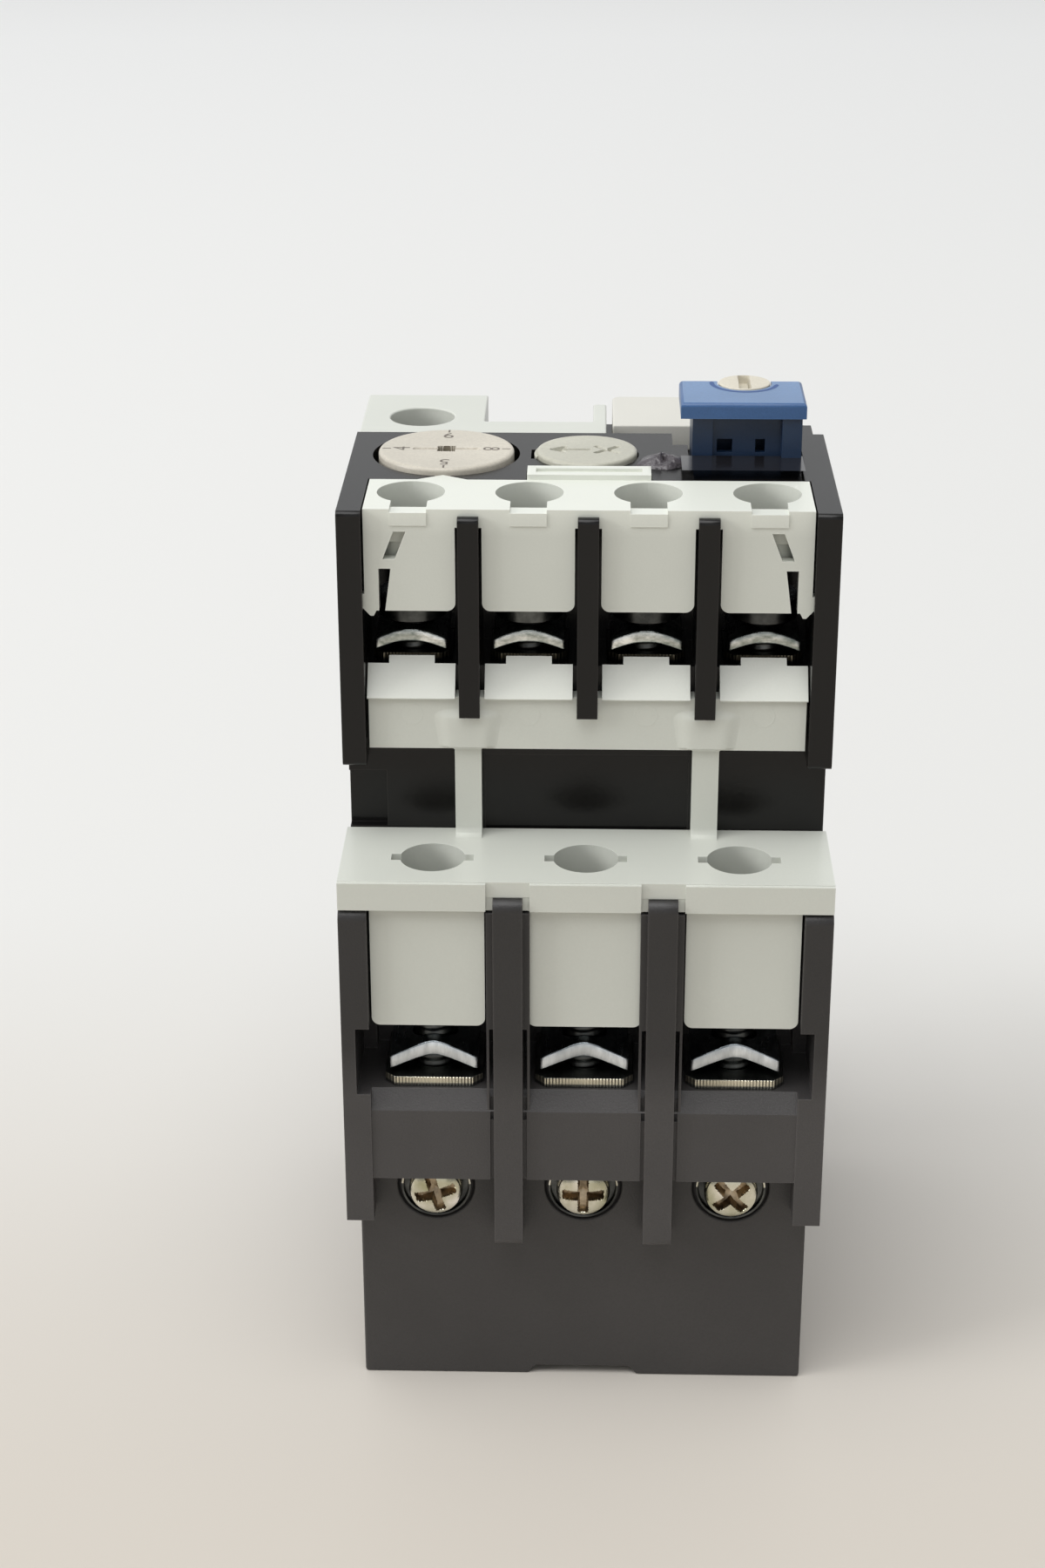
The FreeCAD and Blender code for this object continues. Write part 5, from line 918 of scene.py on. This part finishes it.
# painted shade of the groove: a dark strip laid on the head
groove = new_piece("reset_groove_shade", sheet.reshape(-1, 3),
                   lattice(2, count, closed_columns=False), groove_shade_blue)
lay_on(groove, "reset_button")


# ------------------------------------------------------------------ mode selector
# A slotted disc of cream acetal that turns in the reset button's head. A short stem
# holds it there.

def selector_relief(x, y):
    """One straight slot across the disc."""
    return np.clip(0.5 - (np.abs(x) - 0.50 * MM) / (0.08 * MM), 0, 1) * 0.80 * MM


# the disc's edges are painted lighter in patches: a painted highlight
selector_cream = moulded_plastic("selector_cream", (0.60, 0.56, 0.46), 0.38, 4200.0, 0.08,
                                 edge_highlight=(0.74, 0.70, 0.60))
radius = 2.45 * MM
foot = knob_high[2] - 1.4 * MM
stem = [(1.05 * MM, knob_low[2]), (1.05 * MM, foot), (radius, foot)]
points, faces = disc_mesh(stem, radius, 0.12 * MM, knob_high[2], selector_relief,
                          0.08 * MM, 96)
adopt(new_piece("selector_disc", points + [knob_x, knob_y, 0], faces, selector_cream),
      "mode_selector")


# ------------------------------------------------------------------ calibration seal
# A drop of black sealing lacquer, run unevenly over the factory-set screw beside the test
# button and dried with wrinkles.

lacquer, tree, shader = node_material("lacquer")
clouds = add_node(tree, "ShaderNodeTexNoise", at_Scale=1300.0, at_Detail=3.0)
tree.links.new(add_node(tree, "ShaderNodeTexCoord").outputs["Object"],
               clouds.inputs["Vector"])
tree.links.new(mixed_colours(tree, clouds.outputs["Fac"], (0.012, 0.011, 0.013),
                             (0.13, 0.115, 0.125)), shader.inputs["Base Color"])
shine = add_node(tree, "ShaderNodeMapRange", at_To_Min=0.08, at_To_Max=0.34)
tree.links.new(clouds.outputs["Fac"], shine.inputs["Value"])
tree.links.new(shine.outputs["Result"], shader.inputs["Roughness"])
wrinkle = add_node(tree, "ShaderNodeBump", at_Strength=0.8, at_Distance=0.4 * MM)
tree.links.new(clouds.outputs["Fac"], wrinkle.inputs["Height"])
tree.links.new(wrinkle.outputs["Normal"], shader.inputs["Normal"])
low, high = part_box("calibration_seal")
random = np.random.default_rng(7)
count, rows = 72, 26
angles = np.linspace(0, math.tau, count, endpoint=False)
share = np.linspace(1, 0.02, rows)[:, None]
waves = sum(random.uniform(0.02, 0.07) * np.cos(k * angles + random.uniform(0, math.tau))
            for k in range(2, 8))
lumps = sum(random.uniform(0.10, 0.22) * np.cos(k * angles + random.uniform(0, math.tau)
                                                + 5 * share) for k in range(1, 5))
outline = 2.45 * MM * (1 + waves)
radii = outline[None, :] * share
heights = low[2] + 1.75 * MM * np.clip(
    np.sqrt(1 - share ** 2 + 1e-9) * (0.78 + 0.45 * lumps * (1 - share)), 0.02, 1.2)
points, faces = turned_piece(radii, heights, count)
points += [(low[0] + high[0]) / 2 + 0.3 * MM, (low[1] + high[1]) / 2, 0]
adopt(new_piece("seal_drop", points, faces, lacquer, 80.0), "calibration_seal")


# ------------------------------------------------------------------ glossy panel
# The smooth bright strip of the front housing before the reset button. It is moulded in
# one with the housing, and only the mould was polished there.

gloss_black = moulded_plastic("gloss_black", (0.012, 0.012, 0.0145), 0.13, 3000.0, 0.05, 0.5)
low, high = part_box("reset_button")
cover_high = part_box("aux_terminal_cover")[1]
across, along = np.meshgrid(np.linspace(low[0] + 0.1 * MM, high[0] - 0.2 * MM, 9),
                            np.linspace(cover_high[1] - 1.2 * MM, low[1] + 0.9 * MM, 4))
strip = np.stack([across, along, np.full(across.shape, cover_high[2] + 0.01 * MM)], axis=-1)
panel = new_piece("gloss_panel", strip.reshape(-1, 3), lattice(4, 9, closed_columns=False),
                  gloss_black)
lay_on(panel, "front_housing")


# ------------------------------------------------------------------ connector blades
# Flat blades of tinned copper, stamped with chamfered tips. They stand out through slots
# in the housing's back and go into the contactor's terminals.

tinned_copper = plated_metal("tinned_copper", (0.72, 0.71, 0.68), (0.50, 0.47, 0.42), 0.32,
                             (1.0, 0.15, 1.0), 0.3)
for name in ("connector_blade_1", "connector_blade_2", "connector_blade_3"):
    softened_copy(name, tinned_copper, 0.15 * MM)


# ------------------------------------------------------------------ current path inside
# Rolled bimetal strips with flat resistance ribbon round them, one set for each pole.
# Each stands on a zinc plated bracket.

def dress(material, *names):
    """Gives nodes that keep their own shape a material."""
    for name in names:
        nodes[name].data.materials.clear()
        nodes[name].data.materials.append(material)


bimetal = plated_metal("bimetal", (0.55, 0.51, 0.45), (0.38, 0.34, 0.30), 0.38,
                       (1.0, 1.0, 0.1), 0.4)
ribbon = plated_metal("ribbon", (0.42, 0.38, 0.35), (0.22, 0.20, 0.19), 0.42,
                      (1.0, 1.0, 1.0), 0.3)
dress(bimetal, "bimetal_1", "bimetal_2", "bimetal_3")
dress(ribbon, "heater_1", "heater_2", "heater_3")
dress(aged_zinc, "bimetal_brackets")


# ------------------------------------------------------------------ trip mechanism
# Slides, lever and carrier of natural acetal in a black frame, with two steel springs and
# a bronze contact bridge. The dial's cam and the factory-set screw are dressed with them.

natural_acetal = moulded_plastic("natural_acetal", (0.72, 0.70, 0.64), 0.42, 5000.0, 0.10)
frame_black = moulded_plastic("frame_black", (0.030, 0.029, 0.029), 0.45, 6000.0, 0.2)
spring_steel = plated_metal("spring_steel", (0.50, 0.50, 0.51), (0.30, 0.30, 0.31), 0.30,
                            (1.0, 1.0, 1.0), 0.2)
bronze = plated_metal("bronze", (0.62, 0.44, 0.27), (0.40, 0.27, 0.16), 0.34,
                      (1.0, 0.2, 1.0), 0.3)
dress(natural_acetal, "trip_slide", "differential_slide", "trip_lever", "contact_carrier")
dress(frame_black, "mechanism_frame", "setting_cam")
dress(bright_zinc, "lever_pin", "calibration_screw")
dress(spring_steel, "test_spring", "reset_spring")
dress(bronze, "contact_bridge")
